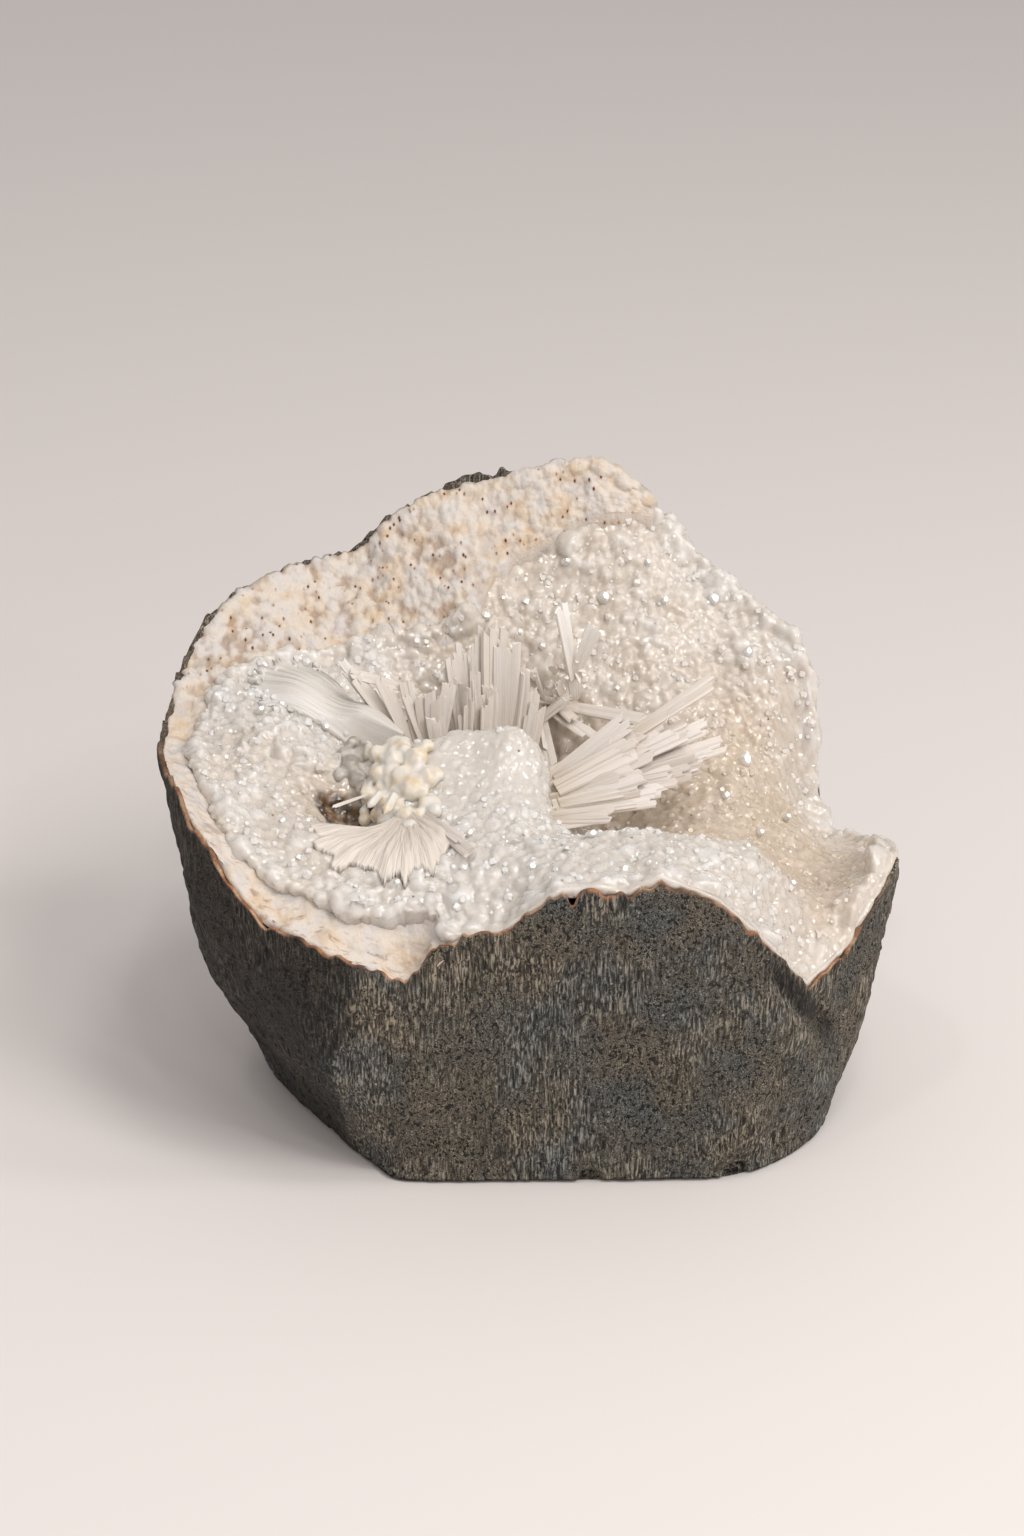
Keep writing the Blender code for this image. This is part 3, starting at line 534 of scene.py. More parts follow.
def basalt_finish():
    """Basalt, broken and weathered: dull grey-brown stone with worm-like pits edged by painted
    highlights, hair-fine streaks down its faces, blue-grey and brown patches, and a rusty tan skin along
    its broken edge."""
    f = Finish("weathered basalt")
    body = f.patches(24, [(0.40, "#585248"), (0.52, "#524f48"), (0.64, "#4b4c4a")], 2)
    flattened = f.add("Mapping", {"Vector": f.metres, "Scale": per_mm(1, 1, 0.6)})
    brown = f.patches(10, [(0.46, 0.0), (0.70, 0.5)], 4, place=flattened)
    body = f.add("MixRGB", {"Fac": brown, "Color1": body, "Color2": "#635747"})

    # Worm-like pits 0.6 mm across, edged by thin pale lines that are painted highlight; streaks are drawn
    # 0.4 mm apart so that they show
    winding = f.add("Mapping", {"Vector": f.metres, "Scale": per_mm(1, 1, 0.8)})
    worm_stops = [(0.36, 0.32), (0.455, 0.43), (0.50, 0.70), (0.545, 0.41), (0.64, 0.55)]
    worms = f.patches(0.72, worm_stops, 2, 0.6, winding)
    downwards = f.add("Mapping", {"Vector": f.metres, "Scale": per_mm(1, 1, 0.09)})
    fine = {"Vector": downwards, "Scale": 1 / 0.42, "Detail": 2, "Roughness": 0.6}
    streaks = f.add("TexNoise", fine, "Fac")
    streaky = f.patches(15, [(0.40, 0.15), (0.58, 0.8)], 1)
    grain = f.add("MixRGB", {"Fac": streaky, "Color1": worms, "Color2": streaks})
    # Painted highlight: the grain brightens the stone along its worm lines
    grain_and_highlights = f.add("ValToRGB", {"Fac": grain}, stops=[(0.36, 0.0), (0.45, 0.46), (0.53, 1.30), (0.61, 3.8)])
    body = f.add("MixRGB", {"Fac": 0.92, "Color1": body, "Color2": grain_and_highlights}, blend_type="MULTIPLY")

    # Pale specks in one cell of ten, 0.3 mm across
    distance, chance = f.cells(1.7, "Red")
    chosen = f.add("Math", {0: chance, 1: 0.9}, operation="GREATER_THAN")
    speck = f.add("ValToRGB", {"Fac": distance}, stops=[(0.10, 1.0), (0.20, 0.0)])
    speck = f.add("Math", {0: speck, 1: chosen}, operation="MULTIPLY")
    body = f.add("MixRGB", {"Fac": speck, "Color1": body, "Color2": "#9a9a93"})

    # Round gas pits 0.4 mm across, each with a pale ring
    distance, chance = f.cells(1.25, "Green")
    chosen = f.add("Math", {0: chance, 1: 0.45}, operation="GREATER_THAN")
    ring = f.add("ValToRGB", {"Fac": distance}, stops=[(0.16, 0.0), (0.22, 0.55), (0.30, 0.0)])
    ring = f.add("Math", {0: ring, 1: chosen}, operation="MULTIPLY")
    body = f.add("MixRGB", {"Fac": ring, "Color1": body, "Color2": "#8a8477"})
    pit = f.add("ValToRGB", {"Fac": distance}, stops=[(0.12, 1.0), (0.19, 0.0)])
    pit = f.add("Math", {0: pit, 1: chosen}, operation="MULTIPLY")
    dark = f.add("Math", {0: pit, 1: 0.85}, operation="MULTIPLY")
    body = f.add("MixRGB", {"Fac": dark, "Color1": body, "Color2": "#1b1714"})

    # Painted shade: the left facet, the ridge beside it and the groove are darkened in the colour
    shade = f.add("MixRGB", {"Fac": 0.8, "Color1": body, "Color2": "#241e19"}, blend_type="MULTIPLY")
    shaded = f.add("Attribute", out="Fac", attribute_name="shaded")
    body = f.add("MixRGB", {"Fac": shaded, "Color1": body, "Color2": shade})
    rust = f.patches(5.5, [(0.38, "#6c4e38"), (0.50, "#b57b54"), (0.62, "#dab08c")], 4)
    rusty = f.add("Attribute", out="Fac", attribute_name="rusty")
    body = f.add("MixRGB", {"Fac": rusty, "Color1": body, "Color2": rust})

    depth = f.add("Math", {0: pit, 1: 0.5}, operation="MULTIPLY")
    height = f.add("Math", {0: grain, 1: depth}, operation="SUBTRACT")
    relief = f.add("Bump", {"Height": height, "Distance": 0.6 * MM, "Strength": 1.0})
    return f.surface(Base_Color=body, Roughness=0.8, Specular_IOR_Level=0.4, Normal=relief)


def milky_finish():
    """Milky quartz-like crust: soft translucent greenish and bluish white, beige where it is deep, partly
    its own colour and partly painted shade, darker in its crevices with painted shade, with glassy faces
    and a few brown specks."""
    f = Finish("milky crystal")
    names = ("tone", "painted_crevice_shade", "peach", "hole")
    tone, painted_crevice_shade, peach, hole = [f.add("Attribute", out="Fac", attribute_name=name) for name in names]
    warm_and_shade_stops = [(0.0, "#dbd9d6"), (0.35, "#d8d2cb"), (0.7, "#d1c6ba"), (1.0, "#cbbba8")]
    colour = f.add("ValToRGB", {"Fac": f.drifting("warm_and_shade", 9, 0.8)}, stops=warm_and_shade_stops)
    tint = f.add("ValToRGB", {"Fac": tone}, stops=[(0.0, "#e2e0dd"), (1.0, "#ffffff")])
    colour = f.add("MixRGB", {"Fac": 0.4, "Color1": colour, "Color2": tint}, blend_type="MULTIPLY")
    # Painted shade: crevices between the crystals are darkened towards beige
    deep = f.add("Math", {0: painted_crevice_shade, 1: 0.3}, operation="MULTIPLY")
    colour = f.add("MixRGB", {"Fac": deep, "Color1": colour, "Color2": "#c3b098"})

    # Peach knobs along the top, browner in their creases with painted shade
    knobs = f.patches(5, [(0.38, "#d2c9c1"), (0.5, "#d6c8b9"), (0.66, "#d3bb9f")])
    knobby = f.add("Math", {0: peach, 1: 0.9}, operation="MULTIPLY")
    colour = f.add("MixRGB", {"Fac": knobby, "Color1": colour, "Color2": knobs})
    peach_crease_shade = f.add("Math", {0: peach, 1: painted_crevice_shade}, operation="MULTIPLY")
    peach_crease_shade = f.add("Math", {0: peach_crease_shade, 1: 0.45}, operation="MULTIPLY")
    colour = f.add("MixRGB", {"Fac": peach_crease_shade, "Color1": colour, "Color2": "#9a7a5e"})
    earth = f.patches(2.0, [(0.4, "#2f2112"), (0.6, "#7a5c3a")])
    colour = f.add("MixRGB", {"Fac": hole, "Color1": colour, "Color2": earth})

    # Brown specks 0.3 mm across, more of them among the peach knobs
    distance, chance = f.cells(2.2, "Green")
    more = f.add("Math", {0: peach, 1: 0.22}, operation="MULTIPLY")
    chance = f.add("Math", {0: chance, 1: more}, operation="ADD")
    chosen = f.add("Math", {0: chance, 1: 0.965}, operation="GREATER_THAN")
    dot = f.add("ValToRGB", {"Fac": distance}, stops=[(0.08, 1.0), (0.16, 0.0)])
    dot = f.add("Math", {0: dot, 1: chosen}, operation="MULTIPLY")
    colour = f.add("MixRGB", {"Fac": dot, "Color1": colour, "Color2": "#7a5a3c"})

    # Faces of crystals too small to model, 0.6 mm across, each tilted its own way
    faces = f.add("TexVoronoi", {"Vector": f.place, "Scale": 1 / 0.6}, "Color")
    tilt = f.add("VectorMath", {0: faces, 1: (0.5, 0.5, 0.5)}, operation="SUBTRACT")
    normal = f.add("NewGeometry", out="Normal")
    leaning = f.add("VectorMath", {0: normal, 1: tilt}, operation="ADD")
    glints = f.add("VectorMath", {0: leaning}, operation="NORMALIZE")

    ripple = f.add("TexNoise", {"Vector": f.place, "Scale": 1 / 1.1, "Detail": 2, "Roughness": 0.5}, "Fac")
    relief = f.add("Bump", {"Height": ripple, "Distance": 0.06 * MM, "Strength": 0.7})
    f.surface(Subsurface_Weight=0.8, Subsurface_Radius=(1.0, 0.96, 0.91), Subsurface_Scale=2.0 * MM)
    f.surface(Coat_Weight=1.0, Coat_Roughness=0.06, Coat_IOR=1.6, Coat_Normal=glints)
    return f.surface(Base_Color=colour, Roughness=0.33, Normal=relief)


def sugar_finish():
    """The same milky crystal as small flat-faced grains, a little clearer and shinier."""
    f = Finish("sugary crystal grains")
    warm_and_shade_stops = [(0.0, "#dfddda"), (0.35, "#ddd7d1"), (0.7, "#dbcfc4"), (1.0, "#d5c6b3")]
    # Beige and darker like the crust beneath, partly their own colour and partly painted shade
    colour = f.add("ValToRGB", {"Fac": f.drifting("warm_and_shade", 4, 0.5)}, stops=warm_and_shade_stops)
    return f.surface(Base_Color=colour, Roughness=0.16)


def bright_face_finish():
    """Clean flat crystal faces that mirror the lamp: glassy, hard and bright."""
    f = Finish("glassy crystal faces")
    colour = f.patches(2.0, [(0.4, "#e6e4df"), (0.6, "#f4f3f1")], 1)
    return f.surface(Base_Color=colour, Roughness=0.10, IOR=1.9)


def rind_finish():
    """Creamy zeolite rind: chalky peach and pinkish white knobs with rust-brown pinholes, creases darkened
    brown with painted shade and greyish patches; fine lengthwise streaks on its lower left band."""
    f = Finish("creamy rind")
    names = ("painted_crevice_shade", "pitted", "streaky")
    painted_crevice_shade, pitted, streaky = [f.add("Attribute", out="Fac", attribute_name=name) for name in names]
    colour = f.patches(5.0, [(0.36, "#cfc8c2"), (0.46, "#d5cbc1"), (0.56, "#d6c9ba"), (0.70, "#d3bda4")])
    turned_place = {"Vector": f.metres, "Scale": per_mm(1, 1, 1), "Rotation": (0.4, 0, 0.9)}
    grey = f.patches(6.5, [(0.62, 0.0), (0.72, 0.5)], 2, place=f.add("Mapping", turned_place))
    colour = f.add("MixRGB", {"Fac": grey, "Color1": colour, "Color2": "#9a9087"})
    # Painted shade: creases between the knobs are darkened towards brown
    rind_crease_shade = f.add("Math", {0: painted_crevice_shade, 1: 0.6}, operation="MULTIPLY")
    colour = f.add("MixRGB", {"Fac": rind_crease_shade, "Color1": colour, "Color2": "#93704d"})

    # Pinholes 0.4 mm across in clusters, each with a rusty halo
    oblong = {"Vector": f.metres, "Scale": per_mm(1.3, 1, 0.75), "Rotation": (0.5, 0.3, 0)}
    distance, chance = f.cells(1.6, "Green", f.add("Mapping", oblong))
    chosen = f.add("Math", {0: chance, 1: 0.45}, operation="GREATER_THAN")
    cluster = f.patches(6, [(0.42, 0.0), (0.54, 1.0)], 1)
    chosen = f.add("Math", {0: chosen, 1: cluster}, operation="MULTIPLY")
    chosen = f.add("Math", {0: chosen, 1: pitted}, operation="MULTIPLY")
    halo = f.add("ValToRGB", {"Fac": distance}, stops=[(0.15, 1.0), (0.45, 0.0)])
    halo = f.add("Math", {0: halo, 1: chosen}, operation="MULTIPLY")
    halo = f.add("Math", {0: halo, 1: 0.5}, operation="MULTIPLY")
    colour = f.add("MixRGB", {"Fac": halo, "Color1": colour, "Color2": "#b98660"})
    hole = f.add("ValToRGB", {"Fac": distance}, stops=[(0.11, 1.0), (0.24, 0.0)])
    hole = f.add("Math", {0: hole, 1: chosen}, operation="MULTIPLY")
    colour = f.add("MixRGB", {"Fac": hole, "Color1": colour, "Color2": "#523220"})

    lengthwise = f.add("Mapping", {"Vector": f.metres, "Scale": per_mm(0.3, 0.8, 0.3)})
    streaks = f.patches(0.8, [(0.55, 0.0), (0.68, 0.6)], place=lengthwise)
    streaks = f.add("Math", {0: streaks, 1: streaky}, operation="MULTIPLY")
    colour = f.add("MixRGB", {"Fac": streaks, "Color1": colour, "Color2": "#8d6a52"})

    chalk = f.add("TexNoise", {"Vector": f.place, "Scale": 1 / 0.7, "Detail": 3, "Roughness": 0.6}, "Fac")
    height = f.add("Math", {0: chalk, 1: hole}, operation="SUBTRACT")
    relief = f.add("Bump", {"Height": height, "Distance": 0.35 * MM, "Strength": 0.8})
    f.surface(Subsurface_Weight=0.15, Subsurface_Radius=(1.0, 0.7, 0.5), Subsurface_Scale=0.8 * MM)
    return f.surface(Base_Color=colour, Roughness=0.62, Normal=relief)


def needle_finish(name, colours, roughness):
    """Silky scolecite: cream-white fibrous crystal with fibres 0.25 mm apart along each needle,
    a little darker at the root with painted shade where needles crowd."""
    f = Finish(name)
    across = f.add("Attribute", out="Vector", attribute_name="grain")
    fibres = {"Vector": across, "Scale": 1 / 0.25, "Detail": 2, "Roughness": 0.55}
    lines = f.add("TexNoise", fibres, "Fac")
    root, middle, tip = colours
    along = f.add("Attribute", out="Fac", attribute_name="along")
    # Painted shade: the colour darkens towards the root
    colour = f.add("ValToRGB", {"Fac": along}, stops=[(0.0, root), (0.35, middle), (1.0, tip)])
    dark = f.add("ValToRGB", {"Fac": lines}, stops=[(0.35, 0.75), (0.65, 1.0)])
    colour = f.add("MixRGB", {"Fac": 0.3, "Color1": colour, "Color2": dark}, blend_type="MULTIPLY")
    tone = f.add("Attribute", out="Fac", attribute_name="tone")
    tint = f.add("ValToRGB", {"Fac": tone}, stops=[(0.0, "#ece4d9"), (1.0, "#ffffff")])
    colour = f.add("MixRGB", {"Fac": 0.4, "Color1": colour, "Color2": tint}, blend_type="MULTIPLY")
    relief = f.add("Bump", {"Height": lines, "Distance": 0.10 * MM, "Strength": 0.5})
    f.surface(Subsurface_Weight=0.15, Subsurface_Radius=(1.0, 0.95, 0.88), Subsurface_Scale=0.3 * MM)
    return f.surface(Base_Color=colour, Roughness=roughness, Normal=relief)


def cream_finish():
    """Small balls of cream mineral, smooth and waxy, and grey grains beside them."""
    f = Finish("cream mineral")
    colour = f.patches(3.0, [(0.36, "#dbd7d0"), (0.50, "#dcd4c8"), (0.68, "#dac8ab")], 2)
    stone = f.patches(3.0, [(0.4, "#9c9388"), (0.6, "#bfb9b1")], 2)
    grey = f.add("Attribute", out="Fac", attribute_name="grey")
    colour = f.add("MixRGB", {"Fac": grey, "Color1": colour, "Color2": stone})
    lumps = f.add("TexNoise", {"Vector": f.place, "Scale": 1 / 0.9, "Detail": 2, "Roughness": 0.55}, "Fac")
    relief = f.add("Bump", {"Height": lumps, "Distance": 0.15 * MM, "Strength": 0.6})
    f.surface(Subsurface_Weight=0.7, Subsurface_Radius=(1.0, 0.95, 0.88), Subsurface_Scale=1.5 * MM)
    return f.surface(Base_Color=colour, Roughness=0.35, Normal=relief)


def floor_finish():
    """A pale matt studio floor."""
    return Finish("pale studio floor").surface(Base_Color="#e6dfdb", Roughness=0.7)


# Basalt

FRONT_COLUMNS = 500
BACK_COLUMNS = 260
WALL_ROWS = 112
BASE_BEVEL = 0.9
LOWEST_WALL = 0.3
# The lip runs in from the edge: share, drop below the edge, and seed of its small waves
LIP = ((0.9955, -0.02, 1065), (0.9862, 0.25, 1056))
INSIDE_SHARES = (0.983, 0.93, 0.86, 0.75, 0.6, 0.42, 0.2)
BASE_INSETS = (1.2, 12.0)
# Small notches in the front edge: direction, depth and width in degrees
RIM_NOTCHES = [(277.5, 1.5, 1.3), (284, 0.6, 0.9), (292.5, 0.9, 1.1), (245.5, 0.6, 1.2)]
# How far the stone's edge is sunk under the crust's rolled edge, by direction
EDGE_SUNK = [(345, 0), (352, 1.3), (55, 1.3), (64, 2.8), (86, 2.8), (96, 0.4), (104, 0)]
# How rusty the edge is, by direction, and where the rust runs a little way down the face
RUSTY_EDGE = [
    (0, 0.0), (100, 0.0), (170, 0.1), (200, 0.4), (215, 0.8), (312, 1), (316, 0.35), (323, 0.5),
    (327, 0.9), (338, 0.6), (345, 0),
]
RUST_RUNS = [(275, 0), (281, 1), (286, 0.2), (304, 0.2), (308, 1), (312, 0)]
# The groove at the lower right, and chips out of the base's front edge: place, reach and depth
GROOVE_MIDDLE, GROOVE_ALONG = (54.2, -41.2, 39), (13.7, 17.8, -24.3)
GROOVE_LENGTH, GROOVE_WIDTH, GROOVE_DEPTH = 38, 2.6, 4.2
CHIPS = [((12, -44.2, 0.4), 3.0, 2.0), ((41.5, -42, 0.4), 3.6, 2.6), ((-8, -46, 0.4), 1.6, 0.8)]
# Broad swellings (and hollows) of the outer face: direction, width in degrees, height, reach
# upwards, and how far it stands out
SWELLS = [(200, 16, 36, 17, 3.2), (233, 9, 3, 9, -2.2), (240, 14, 8, 9, -1.2)]


def basalt_phi():
    """Directions of the wall's columns, closer together on the front half."""
    front = pi + np.arange(FRONT_COLUMNS) * pi / FRONT_COLUMNS
    back = np.arange(BACK_COLUMNS) * pi / BACK_COLUMNS
    return np.concatenate([back, front])


def fine_rim(phi):
    """The broken edge's height with its small jags."""
    at = np.stack([70 * np.cos(phi), 70 * np.sin(phi), 0 * phi], axis=1)
    height = by_direction(RIM, phi) - by_direction(EDGE_SUNK, phi)
    height = height + 1.25 * wave(at, 1.9, 3) + 0.7 * wave(at, 5.5, 4)
    for direction, depth, width in RIM_NOTCHES:
        off = (np.degrees(phi) - direction) / width
        height = height - depth * np.exp(-(off**2))
    return height


def by_the_groove(points):
    """How far points lie along the groove from its middle, and how far beside it."""
    off = points - np.array(GROOVE_MIDDLE)
    axis = unit(GROOVE_ALONG)
    along = off @ axis
    return along, np.linalg.norm(off - along[:, None] * axis, axis=1)


def basalt_relief(points):
    """Height of the weathered relief at points on the outer face, outwards positive."""
    swellings = 0.55 * waves(points, 11, 3, 20) + 0.22 * waves(points, 2.6, 2, 30)
    streaks = 0.16 * wave(points * (1, 1, 0.18), 0.9, 41)
    pits = mixed(0.25, 0.75, waves(points * (1, 1, 0.6), 1.5, 2, 50))
    relief = swellings + streaks - 0.42 * pits
    phi = direction_of(points) % 360
    for direction, width, z, tall, rise in SWELLS:
        relief += rise * np.exp(-(((phi - direction) / width) ** 2) - ((points[:, 2] - z) / tall) ** 2)
    along, side = by_the_groove(points)
    side = side + 0.5 * wave(points, 3, 60)
    bulge = np.clip(1 - (2 * along / GROOVE_LENGTH) ** 2, 0, 1)
    relief -= GROOVE_DEPTH * bulge * np.exp(-((side / (GROOVE_WIDTH * (0.35 + 0.65 * bulge))) ** 2))
    for middle, reach, depth in CHIPS:
        away = np.linalg.norm(points - np.array(middle), axis=1)
        relief -= depth * mixed(1, 0.55, away / reach)
    return relief


def basalt_shade(points):
    """Where painted shade darkens the stone: the left facet, the ridge beside it and the groove."""
    phi = direction_of(points) % 360
    ridge = 231 - 0.35 * (30 - points[:, 2]) + 2.0 * wave(points, 6, 61)
    facet = 0.9 * mixed(176, 186, phi) * mixed(ridge + 1, ridge - 2, phi)
    line = 0.9 * np.exp(-(((phi - ridge) / 1.1) ** 2)) * mixed(48, 36, points[:, 2])
    along, side = by_the_groove(points)
    groove = mixed(3.2, 1.2, side) * mixed(GROOVE_LENGTH / 2 + 2, GROOVE_LENGTH / 2 - 6, np.abs(along))
    return np.clip(np.maximum(np.maximum(facet, line), groove), 0, 1)


def basalt_wall(phi, rim):
    """The outer face with its relief, as rows of points from the edge down to the base."""
    rows = []
    for part in 1 - np.arange(WALL_ROWS + 1) / WALL_ROWS:
        z = np.maximum(rim * part, BASE_BEVEL if part == 0 else 0)
        rows.append(ring_at(phi, body_radius(phi, z), z))
    wall = np.array(rows)
    normals = grid_normals(wall)
    normals *= np.sign(np.sum(normals * (wall - (*AXIS, 40)), axis=2))[..., None]
    below_rim = rim[None] - wall[..., 2]
    # Near the edge the relief is shallow, so that the stone stays over the crust behind it
    relief = basalt_relief(wall.reshape(-1, 3)).reshape(wall.shape[:2])
    relief = np.maximum(relief, -0.25 - 0.18 * np.maximum(below_rim - 2.0, 0))
    relief = relief * (0.35 + 0.65 * mixed(0, 2.5, below_rim)) * mixed(-0.5, 2.0, wall[..., 2])
    wall = wall + normals * relief[..., None]
    wall[..., 2] = np.maximum(wall[..., 2], LOWEST_WALL)
    return wall


def make_basalt(material):
    """One closed mesh: outer face, lip, floor of the hollow behind the crust, and base."""
    phi = basalt_phi()
    columns = len(phi)
    rim = fine_rim(phi)
    wall = basalt_wall(phi, rim)
    lip = []
    for share, drop, seed in LIP:
        z = rim - drop + 0.15 * wave(wall[0], 1.3, seed)
        lip.append(ring_at(phi, rim_radius(phi) * share, z))
    inside = []
    for share in INSIDE_SHARES:
        z = np.minimum(contact_height(phi, share), rim - 1.0) - 0.6
        inside.append(ring_at(phi, share * rim_radius(phi), z))
    base = [ring_at(phi, body_radius(phi, 0) - inset, 0 * phi) for inset in BASE_INSETS]
    grid = np.concatenate([np.array(inside[::-1]), np.array(lip[::-1]), wall, np.array(base)])

    rusty = np.zeros(grid.shape[:2])
    edge_row = len(inside) + len(lip)
    rust = by_direction(RUSTY_EDGE, phi)
    for row, amount in ((edge_row - 2, 1.0), (edge_row - 1, 1.0), (edge_row, 0.75)):
        rusty[row] = amount * rust
    rusty[edge_row + 1] = 0.6 * by_direction(RUST_RUNS, phi)

    ends = np.array([[*AXIS, float(contact_height(0.0, 0.0)) - 1], [*AXIS, 0]])
    points = np.concatenate([grid.reshape(-1, 3), ends])
    count = len(points) - 2
    faces = [
        band_faces(len(grid), columns)[:, ::-1],
        fan_faces(count, np.arange(columns)),
        fan_faces(count + 1, np.arange(count - columns, count)[::-1]),
    ]
    # The shaded value is painted shade for the basalt's finish
    values = {"rusty": np.concatenate([rusty.ravel(), [0, 0]]), "shaded": basalt_shade(points)}
    return mesh_object("basalt_stone", points, faces, material, values)


# Crystal crust

CRUST_COLUMNS = 800
INNER_ROWS = 46
OUTER_ROWS = 84
CURL_ROWS = 7
FIRST_SHARE = 0.012
COARSE_UNTIL = 0.42
UNDER_STEPS = (0.97, 0.85, 0.6, 0.3)
# Radius of the crust's rounded edge, by direction
CURL = [
    (0, 0.8), (6, 1.3), (58, 1.3), (64, 0.7), (104, 0.7), (112, 1.2), (250, 1.0), (257, 0.35),
    (340, 0.35),
]
# How far the crust's edge dips below the smooth surface, by direction
EDGE_DIP = [(52, 0), (64, 1.5), (74, 3.2), (97, 3.2), (107, 1.0), (118, 0)]
# Where the crust is beige and darker instead of white, partly its own colour and partly painted shade in
# its deep places, and where it is whiter: x, y, radius, strength
WARM_AND_SHADE_PLACES = [
    (44, 2, 20, 0.75), (56, -4, 16, 0.7), (24, 4, 16, 0.5), (-16, 10, 14, 0.45), (8, 12, 14, 0.5),
    (60, -26, 10, 0.35), (-40, -14, 8, 0.6), (-14, 44, 16, 0.35), (50, 26, 14, 0.35),
    (-54, -2, 13, 0.2), (-40, -30, 12, 0.2), (14, 42, 18, 0.25),
]
COOL_PLACES = [(-8, -8, 18, 0.5), (-50, 8, 18, 0.35), (10, -38, 20, 0.3), (-20, -38, 16, 0.3)]
USUAL_WARMTH = 0.28
HOLE = (-37.5, -14.5, 69.5)
# Sorts of crystal, each grown over the ones before: how many are tried, the least gap between
# middles, radius, how far the middle is sunk as a share of the radius, flat faces on each, and
# whether they grow only where the crust is peach-coloured
CRYSTAL_SORTS = [
    (1500, 4.2, (2.9, 4.6), (0.62, 0.86), 2, False),
    (12000, 1.8, (1.5, 2.2), (0.50, 0.74), 3, False),
    (2600, 1.6, (0.6, 0.95), (0.35, 0.6), 3, False),
    (9000, 1.5, (0.8, 1.35), (0.15, 0.5), 1, True),
]
# The sort that also has a row of lumps along the rolled edge, one to this many columns
EDGE_SORT = 1
EDGE_LUMP_COLUMNS = 4
RELIEF = 0.72
MEAN_RISE = 0.9


def warmth_and_shade(points):
    value = np.full(len(points), USUAL_WARMTH)
    for places, sign in ((WARM_AND_SHADE_PLACES, 1), (COOL_PLACES, -1)):
        for x, y, radius, strength in places:
            away = np.hypot(points[:, 0] - x, points[:, 1] - y)
            value += sign * strength * np.exp(-((away / radius) ** 2))
    return np.clip(value, 0, 1)


def even_rows(phi, first, last, count):
    """Shares from first to last in each direction, spaced by the length of the slope."""
    fine = np.linspace(0, 1, 240)[:, None]
    share = first + fine * (last - first)[None]
    x, y = plan(phi[None], share)
    z = FREE.height(x, y)
    step = np.sqrt(np.diff(x, axis=0) ** 2 + np.diff(y, axis=0) ** 2 + np.diff(z, axis=0) ** 2)
    length = np.concatenate([np.zeros((1, len(phi))), np.cumsum(step, axis=0)])
    wanted = np.linspace(0, 1, count)
    columns = [np.interp(wanted * line[-1], line, way) for line, way in zip(length.T, share.T)]
    return np.array(columns).T


def ragged_top(degrees, least, most):
    """1 along the top left, where the crust's edge is ragged, 0 elsewhere."""
    return mixed(112, 104, degrees) * mixed(least, most, degrees)


def crust_grid():
    """The crust's free surface as rings of points, from its middle to its rolled edge. Rings
    inside COARSE_UNTIL use every second column."""
    phi = np.arange(CRUST_COLUMNS) * 2 * pi / CRUST_COLUMNS
    begins = by_direction(RIND_BEGINS, phi)
    around = np.stack([60 * np.cos(phi), 60 * np.sin(phi), 0 * phi], 1)
    jags = ragged_top(np.degrees(phi), 63, 72) * (0.025 * wave(around, 5, 15) + 0.02 * wave(around, 13, 16))
    ripple = 0.006 * wave(around, 6, 5) + jags
    begins = np.where(begins < EDGE_SHARE - 0.01, begins + ripple, begins)
    inner = np.linspace(FIRST_SHARE, COARSE_UNTIL, INNER_ROWS, endpoint=False)[:, None] * begins[None]
    share = np.concatenate([inner, even_rows(phi, COARSE_UNTIL * begins, begins, OUTER_ROWS)])
    x, y = plan(phi[None], share)
    # Near the basalt's edge the surface is lifted or lowered to meet it
    edge = by_direction(RIM, phi) + by_direction(CRUST_RISE, phi)
    edge = np.clip(edge - FREE.height(*plan(phi, EDGE_SHARE)), -6, 6) * mixed(196, 210, np.degrees(phi))
    z = FREE.height(x, y) + edge * mixed(0.93, 0.985, share)
    z = z - by_direction(EDGE_DIP, phi) * mixed(0.5, 1.0, share)
    curl = by_direction(CURL, phi)
    out = np.stack([np.cos(phi), np.sin(phi)], 1)
    rolled = []
    for angle in np.linspace(0, radians(125), CURL_ROWS + 1)[1:]:
        reach = curl * sin(angle)
        low = z[-1] - curl * (1 - cos(angle))
        if angle > radians(120):
            # A thin edge ends in a small cliff, drawn in behind the stone
            cliff = mixed(0.9, 0.4, curl)
            low, reach = low - 1.4 * cliff, reach - 0.55 * cliff
        rolled.append(np.stack([x[-1] + reach * out[:, 0], y[-1] + reach * out[:, 1], low], 1))
    return phi, np.concatenate([np.stack([x, y, z], 2), np.array(rolled)])


def area_draw(points, faces, count, draw, weight=None):
    """Random places on quads, spread evenly over their area. Returns points and the quads."""
    corner = points[faces]
    area = np.linalg.norm(np.cross(corner[:, 2] - corner[:, 0], corner[:, 3] - corner[:, 1]), axis=1)
    if weight is not None:
        area = area * weight
    chosen = draw.choice(len(faces), count, p=area / area.sum())
    u, v = draw.uniform(size=(2, count, 1))
    c = corner[chosen]
    return (c[:, 0] * (1 - u) + c[:, 1] * u) * (1 - v) + (c[:, 3] * (1 - u) + c[:, 2] * u) * v, chosen


def smooth_mound(points):
    """1 on the mound in the middle, whose surface is smooth, 0 elsewhere."""
    away = np.hypot((points[:, 0] + 6) / 17, (points[:, 1] + 9) / 12)
    return mixed(1.15, 0.75, away)


def peachy(points):
    """1 along the top, where the crust turns to small peach knobs like the rind's, else 0."""
    edge = 104.5 + 0.12 * (points[:, 0] + 8) + 2.5 * wave(points, 8, 6)
    return mixed(edge - 2, edge + 4, points[:, 2]) * mixed(30, 20, points[:, 0])


